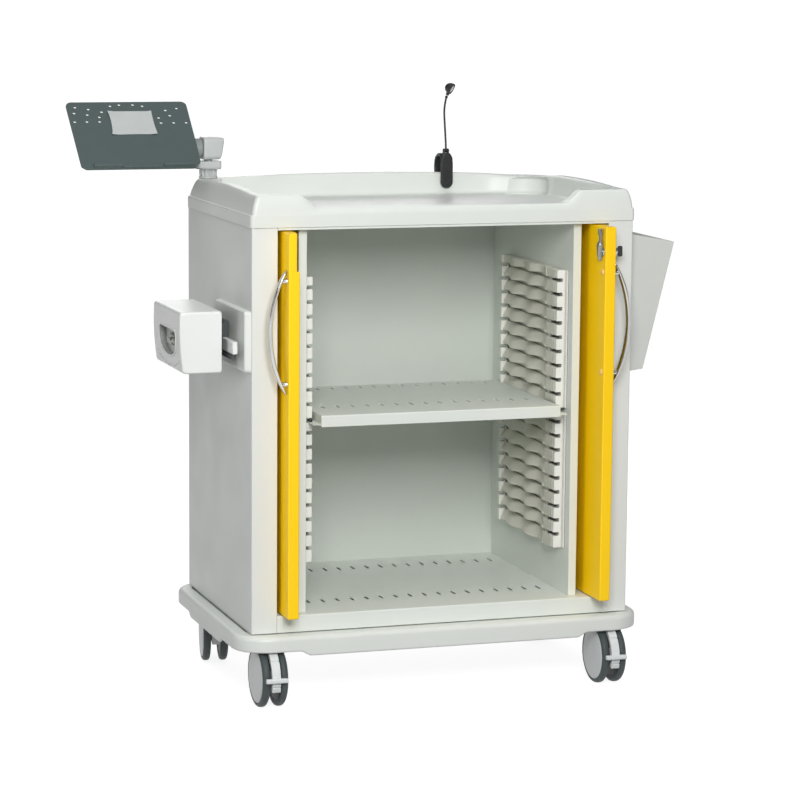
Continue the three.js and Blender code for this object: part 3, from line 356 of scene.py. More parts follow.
def finish(name, col, rough, metal=0.0, spread=0.05, warm=0.0, big=3.0, fine=700.0, bump=0.06, dist=0.0003,
           rvar=0.05, spec=0.5, coat=0.0, coat_rough=0.15, stretch=None, ior=1.5, sheen=0.0, speck=0.0, cavity_shade=None):
    """A surface with slow tone changes, a fine grain in relief, a patchy gloss and, where asked, painted shade in deep
    narrow places.
    """
    m = bpy.data.materials.new(name)
    m.use_nodes = True
    nt = m.node_tree
    nt.nodes.clear()
    N, L = nt.nodes, nt.links
    out = N.new("ShaderNodeOutputMaterial")
    b = N.new("ShaderNodeBsdfPrincipled")
    L.new(b.outputs["BSDF"], out.inputs["Surface"])
    b.inputs["Metallic"].default_value = metal
    b.inputs["IOR"].default_value = ior
    b.inputs["Specular IOR Level"].default_value = spec
    b.inputs["Coat Weight"].default_value = coat
    b.inputs["Coat Roughness"].default_value = coat_rough
    if sheen:
        b.inputs["Sheen Weight"].default_value = sheen
    tc = N.new("ShaderNodeTexCoord")
    vec = tc.outputs["Object"]
    if stretch:
        mp = N.new("ShaderNodeMapping")
        mp.inputs["Scale"].default_value = stretch
        L.new(vec, mp.inputs["Vector"])
        vec_f = mp.outputs["Vector"]
    else:
        vec_f = vec
    n1 = N.new("ShaderNodeTexNoise")
    n1.inputs["Scale"].default_value = big
    n1.inputs["Detail"].default_value = 5.0
    n1.inputs["Roughness"].default_value = 0.6
    L.new(vec, n1.inputs["Vector"])
    ramp = N.new("ShaderNodeValToRGB")
    lo = [max(0.0, c * (1 - spread)) for c in col]
    hi = [min(1.0, c * (1 + spread)) for c in col]
    if warm:
        lo[2] *= 1 - warm
        hi[0] *= 1 - warm * 0.4
    ramp.color_ramp.elements[0].position = 0.3
    ramp.color_ramp.elements[1].position = 0.7
    ramp.color_ramp.elements[0].color = (*lo, 1)
    ramp.color_ramp.elements[1].color = (*hi, 1)
    L.new(n1.outputs["Fac"], ramp.inputs["Fac"])
    colour = ramp.outputs["Color"]
    n2 = N.new("ShaderNodeTexNoise")
    n2.inputs["Scale"].default_value = fine
    n2.inputs["Detail"].default_value = 3.0
    n2.inputs["Roughness"].default_value = 0.55
    L.new(vec_f, n2.inputs["Vector"])
    if speck:
        mix = N.new("ShaderNodeMix")
        mix.data_type = "RGBA"
        mix.blend_type = "MULTIPLY"
        sr = N.new("ShaderNodeMapRange")
        sr.inputs["From Min"].default_value = 0.35
        sr.inputs["From Max"].default_value = 0.65
        sr.inputs["To Min"].default_value = 1.0 - speck
        sr.inputs["To Max"].default_value = 1.0 + speck * 0.6
        L.new(n2.outputs["Fac"], sr.inputs["Value"])
        mix.inputs["Factor"].default_value = 1.0
        L.new(colour, mix.inputs["A"])
        L.new(sr.outputs["Result"], mix.inputs["B"])
        colour = mix.outputs["Result"]
    if cavity_shade:
        # painted shade: the colour is darkened by ambient occlusion in deep narrow places of the piece
        ao = N.new("ShaderNodeAmbientOcclusion")
        ao.samples = 8
        ao.inputs["Distance"].default_value = cavity_shade[0]
        hr = N.new("ShaderNodeMapRange")
        hr.inputs["From Min"].default_value = 0.12
        hr.inputs["From Max"].default_value = 0.70
        hr.inputs["To Min"].default_value = cavity_shade[1]
        hr.inputs["To Max"].default_value = 1.0
        L.new(ao.outputs["AO"], hr.inputs["Value"])
        hm = N.new("ShaderNodeMix")
        hm.data_type = "RGBA"
        hm.blend_type = "MULTIPLY"
        hm.inputs["Factor"].default_value = 1.0
        L.new(colour, hm.inputs["A"])
        L.new(hr.outputs["Result"], hm.inputs["B"])
        colour = hm.outputs["Result"]
    L.new(colour, b.inputs["Base Color"])
    bp = N.new("ShaderNodeBump")
    bp.inputs["Strength"].default_value = bump
    bp.inputs["Distance"].default_value = dist
    L.new(n2.outputs["Fac"], bp.inputs["Height"])
    L.new(bp.outputs["Normal"], b.inputs["Normal"])
    n3 = N.new("ShaderNodeTexNoise")
    n3.inputs["Scale"].default_value = big * 9
    n3.inputs["Detail"].default_value = 4.0
    L.new(vec_f if stretch else vec, n3.inputs["Vector"])
    mr = N.new("ShaderNodeMapRange")
    mr.inputs["From Min"].default_value = 0.3
    mr.inputs["From Max"].default_value = 0.7
    mr.inputs["To Min"].default_value = max(0.03, rough - rvar)
    mr.inputs["To Max"].default_value = min(1.0, rough + rvar)
    L.new(n3.outputs["Fac"], mr.inputs["Value"])
    L.new(mr.outputs["Result"], b.inputs["Roughness"])
    return m


BODY = finish("powder_coat_body", lin("#e2e5e2"), 0.42, spread=0.018, big=1.6, fine=1100, bump=0.10, dist=0.00025)
INNER = finish("powder_coat_inner", lin("#e2e7e1"), 0.42, spread=0.03, big=1.8, fine=1100, bump=0.10, dist=0.00025)
ABS = finish("moulded_abs", lin("#e0e4df"), 0.40, spread=0.02, big=2.2, fine=1500, bump=0.10, dist=0.0002)
YELLOW = finish("door_lacquer", (0.95, 0.595, 0.003), 0.42, spread=0.03, big=2.0, fine=900, bump=0.05, dist=0.0002, spec=0.22)
# painted shade: runner panel and post colours are darkened by ambient occlusion in their slots and pockets
RUNNER = finish("runner_plastic", lin("#dadace"), 0.5, spread=0.05, big=8, fine=1300, bump=0.10, dist=0.0002, cavity_shade=(0.014, 0.22))
POST = finish("runner_post_plastic", lin("#ebebe3"), 0.48, spread=0.03, big=9, fine=1300, bump=0.10, dist=0.0002, cavity_shade=(0.012, 0.08))
STEEL = finish("brushed_steel", (0.52, 0.52, 0.51), 0.14, metal=1.0, spread=0.08, big=14, fine=60, bump=0.05, dist=0.0001, rvar=0.08, stretch=(30, 30, 1.2))
ZINC = finish("zinc_plate", (0.46, 0.47, 0.47), 0.42, metal=0.9, spread=0.14, big=22, fine=500, bump=0.08, dist=0.0002, rvar=0.1)
SLATE = finish("slate_plastic", lin("#4d5c5b"), 0.46, spread=0.05, big=5, fine=1600, bump=0.16, dist=0.0002, speck=0.05)
HUBGREY = finish("mid_grey_plastic", lin("#8f9795"), 0.45, spread=0.04, big=9, fine=1500, bump=0.12, dist=0.0002)
TYRE = finish("tyre_rubber", lin("#3d4647"), 0.58, spread=0.16, big=22, fine=900, bump=0.22, dist=0.0003, rvar=0.1, speck=0.08)
LIGHT = finish("castor_plastic", lin("#d8dcdc"), 0.38, spread=0.05, big=14, fine=1400, bump=0.10, dist=0.0002)
PALE = finish("pedal_plastic", lin("#dde1e0"), 0.38, spread=0.05, big=14, fine=1400, bump=0.10, dist=0.0002)
# painted shade: the holder's colour is darkened strongly by ambient occlusion inside the case, so the opening reads
# dark
HOLDER = finish("holder_plastic", lin("#eceeec"), 0.34, spread=0.02, big=5, fine=1500, bump=0.08, dist=0.0002, cavity_shade=(0.11, 0.02))
RAIL = finish("rail_lacquer", lin("#eef0ee"), 0.35, spread=0.03, big=6, fine=1100, bump=0.08, dist=0.0002)
BLACK = finish("black_plastic", (0.016, 0.017, 0.018), 0.42, spread=0.25, big=12, fine=1300, bump=0.16, dist=0.0002, speck=0.15)
DARK = finish("dark_grey_plastic", lin("#3a3f40"), 0.48, spread=0.12, big=10, fine=1300, bump=0.14, dist=0.0002)
PAPER = finish("label_paper", lin("#c6cbca"), 0.72, spread=0.04, big=16, fine=900, bump=0.12, dist=0.0003, speck=0.03)
# painted shade: the glove film is darkened by ambient occlusion in its folds
GLOVE = finish("glove_film", lin("#c9cfc6"), 0.5, spread=0.14, big=26, fine=420, bump=0.25, dist=0.0008, sheen=0.15, warm=0.05, cavity_shade=(0.04, 0.06))
# painted light: the rail pad is coloured lighter than the moulded ABS to offset the shadow the glove holder casts on it
PAD_LIT = finish("pad_plastic_painted_light", lin("#eff2ed"), 0.42, spread=0.02, big=5, fine=1500, bump=0.10, dist=0.0002)
JOINT = finish("joint_plastic", lin("#c3c7c6"), 0.40, spread=0.04, big=10, fine=1400, bump=0.10, dist=0.0002)
# painted shade: a darker copy of the body paint for the back panel, standing in for the shade on the back wall inside
# the cabinet
BACK_SHADED = finish("powder_coat_back_painted_shade", lin("#d3d9d2"), 0.44, spread=0.03, big=1.8, fine=1100, bump=0.10, dist=0.00025)
# painted shade: the document pocket takes a darker copy of the body paint, standing in for the fall-off of light
# towards the right
POCKET_SHADED = finish("pocket_painted_shade", lin("#d2d4cf"), 0.42, spread=0.03, big=4, fine=1300, bump=0.10, dist=0.0002)
CAMSTEEL = finish("cast_cam", (0.27, 0.27, 0.26), 0.36, metal=0.9, spread=0.12, big=30, fine=500, bump=0.10, dist=0.0002, rvar=0.1)
# painted highlight: the screw heads are coloured pale cream to stand in for the bright highlight on them
CAP_HIGHLIGHT = finish("screw_cap_painted_highlight", lin("#ffcf86"), 0.45, spread=0.05, big=40, fine=900, bump=0.08, dist=0.0002)
LENS = finish("lens_plastic", lin("#c4c8c6"), 0.14, spread=0.1, big=80, fine=300, bump=0.2, dist=0.0004, coat=0.5, coat_rough=0.05)


# ---------------------------------------------------------------------- base
EX = [-360, -330, -316, -311, -307, -303, -299, -295, -291, -287, -283, -279, -274, -262, -200, -100]
EX = EX + [0] + [-v for v in reversed(EX)]
EY = [-205, -170, -150, -145, -141, -138, -134, -130, -126, -122, -118, -114, -108, -90, -45]
EY = EY + [0] + [-v for v in reversed(EY)]


def base_ring(d, zf):
    R = 72 - d
    pts = [(x, -288 + d) for x in EX]
    pts += arc(370, -216, R, -90, 0, 14)
    pts += [(442 - d, y) for y in EY]
    pts += arc(370, 216, R, 0, 90, 14)
    pts += [(x, 288 - d) for x in reversed(EX)]
    pts += arc(-370, 216, R, 90, 180, 14)
    pts += [(-442 + d, y) for y in reversed(EY)]
    pts += arc(-370, -216, R, 180, 270, 14)
    return [(x, y, zf(x, y)) for x, y in pts]


def base_low(x, y):
    return 110 + 10 * min(sm(290, 314, abs(x)), sm(118, 140, abs(y)))


rings = [base_ring(5.5, lambda x, y: 146.0)]
for d, dz in ((5.5, 1.2), (4.2, 0.1), (2.6, 0.0), (1.1, 0.7), (0.25, 2.2), (0.0, 4.5)):
    rings.append(base_ring(d, lambda x, y, dz=dz: base_low(x, y) + dz))
rings.append(base_ring(0.0, lambda x, y: 134.0))
for k in range(0, 9):
    q = math.radians(90 * k / 8)
    rings.append(base_ring(11 * (1 - math.cos(q)), lambda x, y, q=q: 142 + 11 * math.sin(q)))
for d, z in ((20, 153.2), (27.5, 153.3), (29.0, 152.2), (29.6, 147.8), (37.4, 147.8), (38.4, 154.2), (39.6, 154.6)):
    rings.append(base_ring(d, lambda x, y, z=z: z))
make("base_moulding", loft(rings), ABS, "cabinet", "base_bumper", sharp=50)


# ------------------------------------------------------------------- worktop
FX = [-330, -320, -312, -308, -304, -300, -296, -292, -288, -284, -280, -276, -272, -268, -264, -256, -240, -200, -150, -100, -50]
FX = FX + [0] + [-v for v in reversed(FX)]
SY = [-196, -184, -170, -155, -140, -125, -110, -95, -80, -65, -50, -25, 0, 30, 60, 90, 115, 128]
SY = SY + [134 + 3 * i for i in range(17)]
CUP, BOSS = Vector((324, 158)), Vector((-375, 222))


def smax(a, b, k):
    return 0.5 * (a + b + math.sqrt((a - b) ** 2 + k * k))


def top_ring(s, sb, f, r, zf, rb, rf, widen=False, cup=None, boss=None):
    """Outline of the top: r, rb and rf round the back left, back right and front corners."""
    hx, yb, yf = 413 - s, 261 - sb, -261 + f
    pts = [(x, yf) for x in FX]
    pts += arc(hx - rf, yf + rf, rf, -90, 0, 12)
    y0 = max(-196.0, yf + rf + 1)
    pts += [(hx, y0 + (yb - rb - 3 - y0) * i / 23) for i in range(24)]
    pts += arc(hx - rb, yb - rb, rb, 0, 90, 48)
    pts += [(hx - rb - 3 - (hx - rb - 3 + 290) * i / 15, yb) for i in range(16)]
    pts += [(x, yb) for x in (-306, -314, -322, -330)]
    pts += arc(-hx + r, yb - r, r, 90, 180, 18)
    pts += [(-hx, max(y, y0 + 0.02 * k)) for k, y in reversed(list(enumerate(SY)))]
    pts += arc(-hx + rf, yf + rf, rf, 180, 270, 12)
    out = []
    for x, y in pts:
        if widen:
            x *= 1 + 12 / 374 * widen * sm(-60, -215, y)
        p = Vector((x, y))
        if cup and x > 200 and y > 60:
            d = p - CUP
            p = CUP + d.normalized() * smax(d.length, cup, 2.0)
        if boss and x < -250 and y > 120:
            d = p - BOSS
            if d.x > 0 or d.y < 0:
                p = BOSS + Vector((max(d.x, 0.2), min(d.y, -0.2))).normalized() * smax(d.length, boss, 7)
        out.append((p.x, p.y, zf(x, y)))
    return out


def crest(x, y):
    """Top of the rim: low along the front, arched a little along the back and the sides."""
    z = 1047.0 if y > -150 else 1047 - 26 * (1 - sm(266, 308, abs(x + (10 if x > 0 else 3))))
    z += 6.5 * max(0, 1 - ((x + 36) / 304) ** 2) * sm(165, 215, y)
    z -= 4.0 * sm(240, 330, x) * sm(110, 200, y)
    z += 4.0 * max(0, 1 - ((y + 20) / 176) ** 2) * sm(310, 350, x)
    return z + 5.0 * max(0, 1 - ((y + 5) / 191) ** 2) * sm(310, 350, -x)


rings = []
for s, f, z in ((1.2, 1.0, 982.3), (0.3, 0.2, 982.8), (0, 0, 984), (0, 0, 1003), (0.15, 0.04, 1005.8), (0.8, 0.1, 1007.3),
                (2.2, 0.2, 1008.0), (3.5, 0.3, 1008.4), (3.8, 0.36, 1009.4)):
    rings.append(top_ring(s, s, f, 14, lambda x, y, z=z: z, 14, 8))
for k in range(1, 13):
    q = math.radians(7.5 * k)
    t, c = math.sin(q), 1 - math.cos(q)
    rings.append(top_ring(3.8 + 4 * t + 10 * c, 3.6 + 15.2 * t + 2.0 * c, 0.4 + 2 * t + 5.0 * c, 14 + 12 * t,
                          lambda x, y, t=t: 1009.4 + (crest(x, y) - 1009.4) * t, 14 + 66 * t, 8))
# crest, inner edge, wall and fillet of the dish
rings.append(top_ring(24.5, 23.0, 15, 29, lambda x, y: crest(x, y), 96, 14, boss=21))
for i, (s, sb, f, dz) in enumerate(((31.5, 26.5, 24.5, 0), (34.0, 28.8, 27.0, 0.35), (36.0, 30.8, 29.2, 1.4), (37.4, 32.0, 30.6, 3.2), (38.0, 32.6, 31.2, 5.4))):
    rings.append(top_ring(s, sb, f, 34 + i, lambda x, y, dz=dz: crest(x, y) - dz, 120 + 2 * i, 30 + 2 * i, (0.25, 0.45, 0.65, 0.8, 0.9)[i], (None, None, 30, 41, 49)[i], 25 + i * 1.2))
rings.append(top_ring(39.2, 33.6, 32.4, 38, lambda x, y: 1013.0 + (crest(x, y) - 1013.0) * 0.72, 130, 38, True, 54.4, 30.4))
rings.append(top_ring(43, 36.4, 36, 38, lambda x, y: 1013.0, 130, 38, True, 54.4, 31))
for k in range(1, 6):
    q = math.radians(18 * k)
    e = 8 * (1 - math.cos(q))
    rings.append(top_ring(43 + e, 36.4 + e, 36 + e, 38 - e, lambda x, y, q=q: 1013 - 8 * math.sin(q), 130 - e, 38 - e, True, 54.4 - e, 31 + e))
V, F = loft(rings, (True, False))
last = rings[-1]
hole = arc(CUP.x, CUP.y, 42.4, 0, 352.5, 47)
k0 = len(V) - len(last)
k1 = len(V)
for r, z in ((42.4, 1005.0), (41.9, 1004.6), (41.5, 1003.4), (41.0, 1002.4), (40.2, 1002.0)):
    V += [(x, y, z) for x, y in arc(CUP.x, CUP.y, r, 0, 352.5, 47)]
for t in tessellate_polygon([[Vector((p[0], p[1], 0)) for p in last], [Vector((x, y, 0)) for x, y in hole]]):
    F.append(tuple(k0 + i if i < len(last) else k1 + i - len(last) for i in t))
for j in range(4):
    for i in range(48):
        n = (i + 1) % 48
        F.append((k1 + 48 * j + i, k1 + 48 * j + n, k1 + 48 * (j + 1) + n, k1 + 48 * (j + 1) + i))
F.append(tuple(k1 + 48 * 4 + i for i in range(48)))
make("worktop_moulding", (V, F), ABS, "cabinet", "worktop", sharp=42)


# ------------------------------------------------------------- cabinet shell
for name, s in (("left", -1), ("right", 1)):
    out = mirror(s, [(410, -258, 3.2), (410, 258, 2.5), (385, 258, 0.6), (385, 256.5, 0.6), (408.5, 256.5, 1.2), (408.5, -256.5, 1.8),
                     (357.5, -256.5, 1.0), (357.5, -240, 0.4), (356, -240, 0.4), (356, -258, 2.2)])
    make(f"{name}_side_sheet", prism("xy", fillet(out, 0, 5), 155, 982), BODY, "cabinet", f"{name}_side_panel")
    out = mirror(s, [(288, -234, 2.0), (305.5, -234, 2.0), (305.5, -222, 0.4), (304, -222, 0.4), (304, -232.5, 0.8), (289.5, -232.5, 0.8),
                     (289.5, 243.7, 0), (288, 243.7, 0)])
    make(f"{name}_partition_sheet", prism("xy", fillet(out, 0, 4), 189.9, 977.0), INNER, "cabinet", f"{name}_partition")


def obround(cx, cy, w, l, n=6):
    a, b = w / 2, l / 2
    return arc(cx, cy + b - a, a, 0, 180, n) + arc(cx, cy - b + a, a, 180, 360, n)


def bend(y, z, zlow, t, r, n=6):
    """Front edge of a tray in section: the top sheet turns down into a lip."""
    outer = [(y, zlow)] + arc(y + r, z - r, r, 180, 90, n)
    inner = [(y + r, z - t)] + arc(y + r, z - r, r - t, 90, 180, n)[1:] + [(y + t, zlow)]
    return outer + inner


slots = [obround(i * 32, y, 6, 34) for y in (-137, 165) for i in range(-8, 9)]
W = 355.96
deck = [prism("xy", [(-W, -255), (W, -255), (W, 243.7), (-W, 243.7)], 187.6, 189.6, slots), prism("yz", bend(-258, 189.6, 155, 2, 3), -W, W)]
for s in (-1, 1):
    deck.append(prism("xy", mirror(s, [(349.7, -239), (407.2, -239), (407.2, 243.2), (349.7, 243.2)]), 187.8, 189.2))
    deck.append(prism("xz", mirror(s, [(406.0, 155), (408.1, 155), (408.1, 189.0), (406.0, 189.0)]), -238.5, 242.8))
deck.append(prism("yz", [(-256.2, 155), (-236, 155), (-236, 157), (-256.2, 157)], -W, W))
make("deck_tray", join(*deck), INNER, "cabinet", "deck_panel")

# shelf: bent tray with slots, turned-out feet and a small black plug on each foot
slots = [obround(i * 32, y, 6, 34) for y in (-132, 120) for i in range(-7, 8)]
shelf = [prism("xy", [(-259.4, -243), (259.4, -243), (259.4, 148.4), (-259.4, 148.4)], 595.5, 597.0, slots),
         prism("yz", bend(-246, 597, 573.5, 1.5, 3), -259.6, 259.6),
         prism("yz", [(-244.6, 573.5), (-230, 573.5), (-230, 575), (-244.6, 575)], -259.2, 259.2),
         prism("yz", [(148.3, 573.5), (149.8, 573.5), (149.8, 597), (148.3, 597)], -259.4, 259.4)]
for s in (-1, 1):
    out = mirror(s, [(258.5, 597, 0.3), (258.5, 577.3, 1.6), (276, 577.3, 0.5), (276, 578.8, 0.5), (260, 578.8, 0.5), (260, 597, 1.2)])
    shelf.append(prism("xz", fillet(out, 0, 3), -244.5, 149.5))
make("shelf_tray", join(*shelf), INNER, "shelf", "shelf")
plugs = [revolve([(0, -209), (2.6, -208.8), (4.0, -207.6), (4.4, -205.6), (4.4, -202), (0, -202)], (s * 271.5, 0, 582.0), (0, 1, 0), 24) for s in (-1, 1)]
make("shelf_plugs", join(*plugs), BLACK, "shelf", None)


# ------------------------------------------------------------- runner panels
def rib_tip(y):
    return 268.5 - 4.5 * math.cos(2 * math.pi * (y + 40) / 102)


def levels(z0):
    """Middle of each slot between two ribs."""
    return [z0 + 29.5 + 30 * i for i in range(9)]


def toothed(s, y0, y1, tip, z0, z1, back=287.3, deep=278.4):
    """Slotted upright at the end of a panel."""
    pts = [(back, z1 - 0.4), (back, z0 + 0.4), (tip, z0 + 0.4, 1.3)]
    for c in levels(z0):
        pts += [(tip, c - 3.8, 1.2), (deep, c - 3.8, 1.2), (deep, c + 3.8, 1.2), (tip, c + 3.8, 1.2)]
    pts.append((tip, z1 - 0.4, 1.3))
    return bev(prism("xz", fillet(mirror(s, pts), 0, 3), y0, y1), 0.8, 2, 40)


YS = [-139.5 + i * (275 / 90) for i in range(91)]
for name, s, z0 in (("left_lower", -1, 286), ("right_lower", 1, 286), ("left_upper", -1, 585), ("right_upper", 1, 585)):
    z1 = z0 + 291
    lv = levels(z0)
    runs = [rbox(s * 284, s * 287.7, -196, 142, z0, z1, 0.5, 2)]
    for i in range(10):
        rows = []
        for y in YS:
            t = rib_tip(y)
            g = 2.8 + 1.0 * (1 + math.cos(2 * math.pi * (y + 79) / 102))
            a, b = (lv[i - 1] + g if i else z0), (lv[i] - g if i < 9 else z1)
            if i < 9:
                sec = [(285, a), (t + 1.0, a), (t + 0.3, a + 0.3), (t, a + 1.0), (t, a + 4.0), (t + 0.4, a + 5.0), (t + 1.0, a + 5.8), (280.6, b - 0.8), (281.2, b), (285, b)]
            else:
                sec = [(285, a), (t + 1.0, a), (t + 0.3, a + 0.3), (t, a + 1.0), (t, a + 6.0), (t, a + 11.0), (t, b - 1.2), (t + 0.35, b - 0.35), (t + 1.2, b), (285, b)]
            rows.append([(s * u, y, v) for u, v in sec])
        runs.append(loft(rows))
    make(f"{name}_runners", join(*runs), RUNNER, "cabinet", f"{name}_runner_panel", sharp=32)
    make(f"{name}_posts", join(rbox(s * 284.6, s * 287.6, -209, -199, z0 + 0.6, z1 - 0.6, 0.8, 2), toothed(s, -200, -182, 266, z0, z1), toothed(s, 134, 146, 266, z0, z1)), POST, "cabinet", None)
    # plain upright behind the front post: a shallow groove and a small pocket at each slot
    zs = [z0 + 0.8]
    for c in lv:
        zs += [c - 4, c - 2.9, c + 2.9, c + 4]
    zs.append(z1 - 0.8)
    xs = [265.8, 269.4, 280, 286.6]
    if s < 0:
        xs = [-x for x in reversed(xs)]

    def solid(i, j, k, s=s):
        i = i if s > 0 else 2 - i
        groove, pocket = k % 4 == 2, k % 4 in (1, 2, 3)
        return not ((groove and (i == 0 or (j != 2 and i < 2))) or (pocket and j == 1 and i < 2))

    make(f"{name}_upright", bev(cells(xs, [-179, -169.5, -156.5, -140], zs, solid), 0.7, 2), RUNNER, "cabinet", None)


# --------------------------------------------------------------------- doors
DOORS = {"left": (-1, -335.0, -306.0), "right": (1, 338.0, -316.0)}
for tag, (s, dx, dy) in DOORS.items():
    xa, xb = dx - 11.5, dx + 11.5
    xo, xi = dx + s * 11.5, dx - s * 11.5
    body = f"{tag}_door"
    if s < 0:
        leaf = cells([xa, xb - 6, xb], [dy, dy + 24, dy + 354], [191.5, 898, 974.5], lambda i, j, k: not (i == 1 and j == 0 and k == 1))
    else:
        leaf = cells([xa, xb], [dy, dy + 354], [191.5, 974.5])
    make(f"{tag}_door_leaf", bev(leaf, 2.4, 4), YELLOW, body, f"{tag}_door", sharp=60)
    # bow handle
    hy, hz = dy + 14, 775.0

    def thick(t):
        return 3.2 + 4.8 * (1 - abs(t) ** 5)

    path, sec = [], []
    n = 56
    for i in range(n + 1):
        t = -1 + 2 * i / n
        path.append((xo + s * (0.35 + thick(t) / 2 + 30.6 * (1 - t * t)), hy, hz + 125 * t))

    def section(u):
        t = -1 + 2 * u
        w, h = 5.2 + 2.8 * (1 - abs(t) ** 4), thick(t) / 2
        end = 1 - 0.5 * sm(0.975, 1.0, abs(t))
        pts = []
        for k in range(20):
            q = 2 * math.pi * k / 20
            c, d = math.cos(q), math.sin(q)
            pts.append((w * end * math.copysign(abs(c) ** 0.7, c), h * end * math.copysign(abs(d) ** 0.7, d)))
        return pts

    parts = [sweep(path, section, (0, 1, 0))]
    for k in (-1, 1):
        z = hz + k * 104
        parts.append(revolve([(0, 0.3), (6.0, 0.3), (6.0, 1.6), (5.2, 2.4), (5.0, 11.4), (0, 11.4)], (xo, hy, z), (s, 0, 0), 24))
    make(f"{tag}_handle_bow", join(*parts), STEEL, body, f"{tag}_door_handle", sharp=50)
    heads = []
    for k in (-1, 1):
        heads.append(revolve([(0, 3.4), (2.2, 3.3), (4.2, 2.7), (5.8, 1.6), (6.6, 0.2), (0, 0.2)], (xi, hy, hz + k * 104 + 2), (-s, 0, 0), 24))
    # the screw heads' pale cream colour is a painted highlight
    make(f"{tag}_handle_screws", join(*heads), CAP_HIGHLIGHT, body, None)

# cam lock in the right door
xa, xb, ly, lz = 326.5, 349.5, -300.0, 923.0


def tube(profile, origin, axis, seg=36):
    """A ring closed on itself."""
    return revolve(list(profile) + [profile[0]], origin, axis, seg, (False, False))


barrel = join(tube([(12.5, 0.3), (12.5, 2.2), (11.7, 3.0), (9.6, 3.1), (9.2, 3.6), (9.0, 5.4), (8.4, 6.0), (5.6, 6.0), (5.6, 0.3)], (xb, ly, lz), (1, 0, 0)),
              tube([(10.8, -0.3), (10.8, -2.2), (10.0, -3.0), (5.6, -3.0), (5.6, -0.3)], (xa, ly, lz), (1, 0, 0)))
make("lock_barrel", barrel, STEEL, "right_door", "lock_cylinder")
tear = arc(ly, lz, 9.0, 155, 385, 22) + [(ly + 5.2, lz + 17), (ly + 3.6, lz + 27)] + arc(ly, lz + 30, 3.0, 20, 160, 6) + [(ly - 3.6, lz + 27), (ly - 5.2, lz + 17)]
tear = [(y, lz - (z - lz) + 14) for y, z in tear]
tear = tear[::-1]
nub = fillet([(ly - 5.5, lz + 34), (ly + 5.0, lz + 34), (ly + 6.5, lz + 46), (ly - 4.0, lz + 48)], 2.2, 3)
dome = []
for x, k in ((-3.4, 0.97), (-4.0, 1.0), (-7.0, 1.0), (-9.2, 0.95), (-11.0, 0.84), (-12.2, 0.66), (-12.8, 0.42), (-13.0, 0.15)):
    dome.append([(xa + x, ly + (y - ly) * k * 0.8, lz + 9 + (z - lz - 9) * k) for y, z in tear])
cam = join(loft(dome),
           bev(prism("yz", [(ly - 4, lz + 18), (ly + 4, lz + 18), (ly + 4, lz + 38), (ly - 4, lz + 38)], xa - 8.0, xa - 4.0), 0.5, 2),
           bev(prism("yz", nub, xa - 10.0, xa - 3.4), 0.9, 2),
           revolve([(0, -7.0), (5.2, -7.0), (5.2, 31.0), (4.6, 31.5), (0, 31.5)], (xa, ly, lz), (1, 0, 0), 24))
make("lock_cam", cam, CAMSTEEL, "door_lock", "lock_cam_and_key")
bow = fillet([(xb + 8.0, lz - 3.0), (xb + 10.5, lz - 11.0), (xb + 19.0, lz - 11.0), (xb + 20.0, lz - 8), (xb + 20.0, lz + 8), (xb + 19.0, lz + 11.0), (xb + 10.5, lz + 11.0), (xb + 8.0, lz + 3.0)], 3.0, 4)
make("lock_key", bev(prism("xz", bow, ly - 1.5, ly + 1.5), 0.6, 2), BLACK, "door_lock", None)


# -------------------------------------------------------------- tablet board
PX, PY, TZ = -375.0, 222.0, 1111.0
ring = []
for i in range(144):
    q = 2 * math.pi * i / 144
    c = math.cos(12 * q)
    ring.append((q, c))


def flute(r, amp, z):
    return [(PX + (r + amp * (c if c > -0.3 else c * 1.4)) * math.cos(q), PY + (r + amp * (c if c > -0.3 else c * 1.4)) * math.sin(q), z) for q, c in ring]


make("post_collar_fluted", loft([flute(19.4, 0, 1047.3), flute(20.0, 0, 1048.2), flute(20.0, 0, 1050.5), flute(18.2, 0.5, 1052.5), flute(18.2, 1.5, 1055),
                                 flute(18.2, 1.7, 1063.5), flute(18.4, 1.0, 1065.6), flute(17.6, 0.3, 1066.4)]), JOINT, "cabinet", "post_collar", sharp=30)
swivel = join(revolve([(0, 1066.8), (26.6, 1066.8), (28.0, 1067.6), (27.6, 1068.6), (25.0, 1069.4), (0, 1069.6)], (PX, PY, 0), (0, 0, 1), 48),
              bev(prism("xy", rrect(25.5, 20.5, 7, 5, PX, PY), 1069.3, 1084.0), 1.4, 3, 50),
              revolve([(0, 1083.5), (9.0, 1083.5), (9.0, 1086.2), (0, 1086.2)], (PX, PY, 0), (0, 0, 1), 28))
make("post_swivel", swivel, JOINT, "board_post", "post_swivel_block")


def head_ring(x, k, r, lean=0.0):
    return [(x + lean * v / 24, PY + u, TZ + v) for u, v in rrect(24 * k, 24 * k, r * k, 6)]


head = [head_ring(-390.2, 0.90, 9), head_ring(-389.2, 0.965, 9), head_ring(-387.2, 1.0, 9)]
for i in range(8):
    head.append(head_ring(-383 + i * 4.2, 1.0 - 0.004 * i, 9, 0.5 * i))
head += [head_ring(-350.6, 0.955, 9, 4), head_ring(-348.4, 0.90, 9, 4), head_ring(-347.2, 0.82, 9, 4)]
tilt = join(loft(head), revolve([(0, 0), (9.2, 0), (9.2, 1.8), (8.0, 2.9), (0, 3.0)], (-347.4, PY, TZ), (1, 0, 0), 28),
            revolve([(0, -27), (6, -27), (6, 11), (0, 11)], (-400, PY, TZ), (1, 0, 0), 24))
make("tilt_head_block", tilt, JOINT, "board_post", "tilt_head", sharp=45)

BT = math.radians(37.4)
BC, BS = math.cos(BT), math.sin(BT)


def on_board(x, y, z):
    return (-416 + x, 89 + y * BC - z * BS, 1080.6 + y * BS + z * BC)


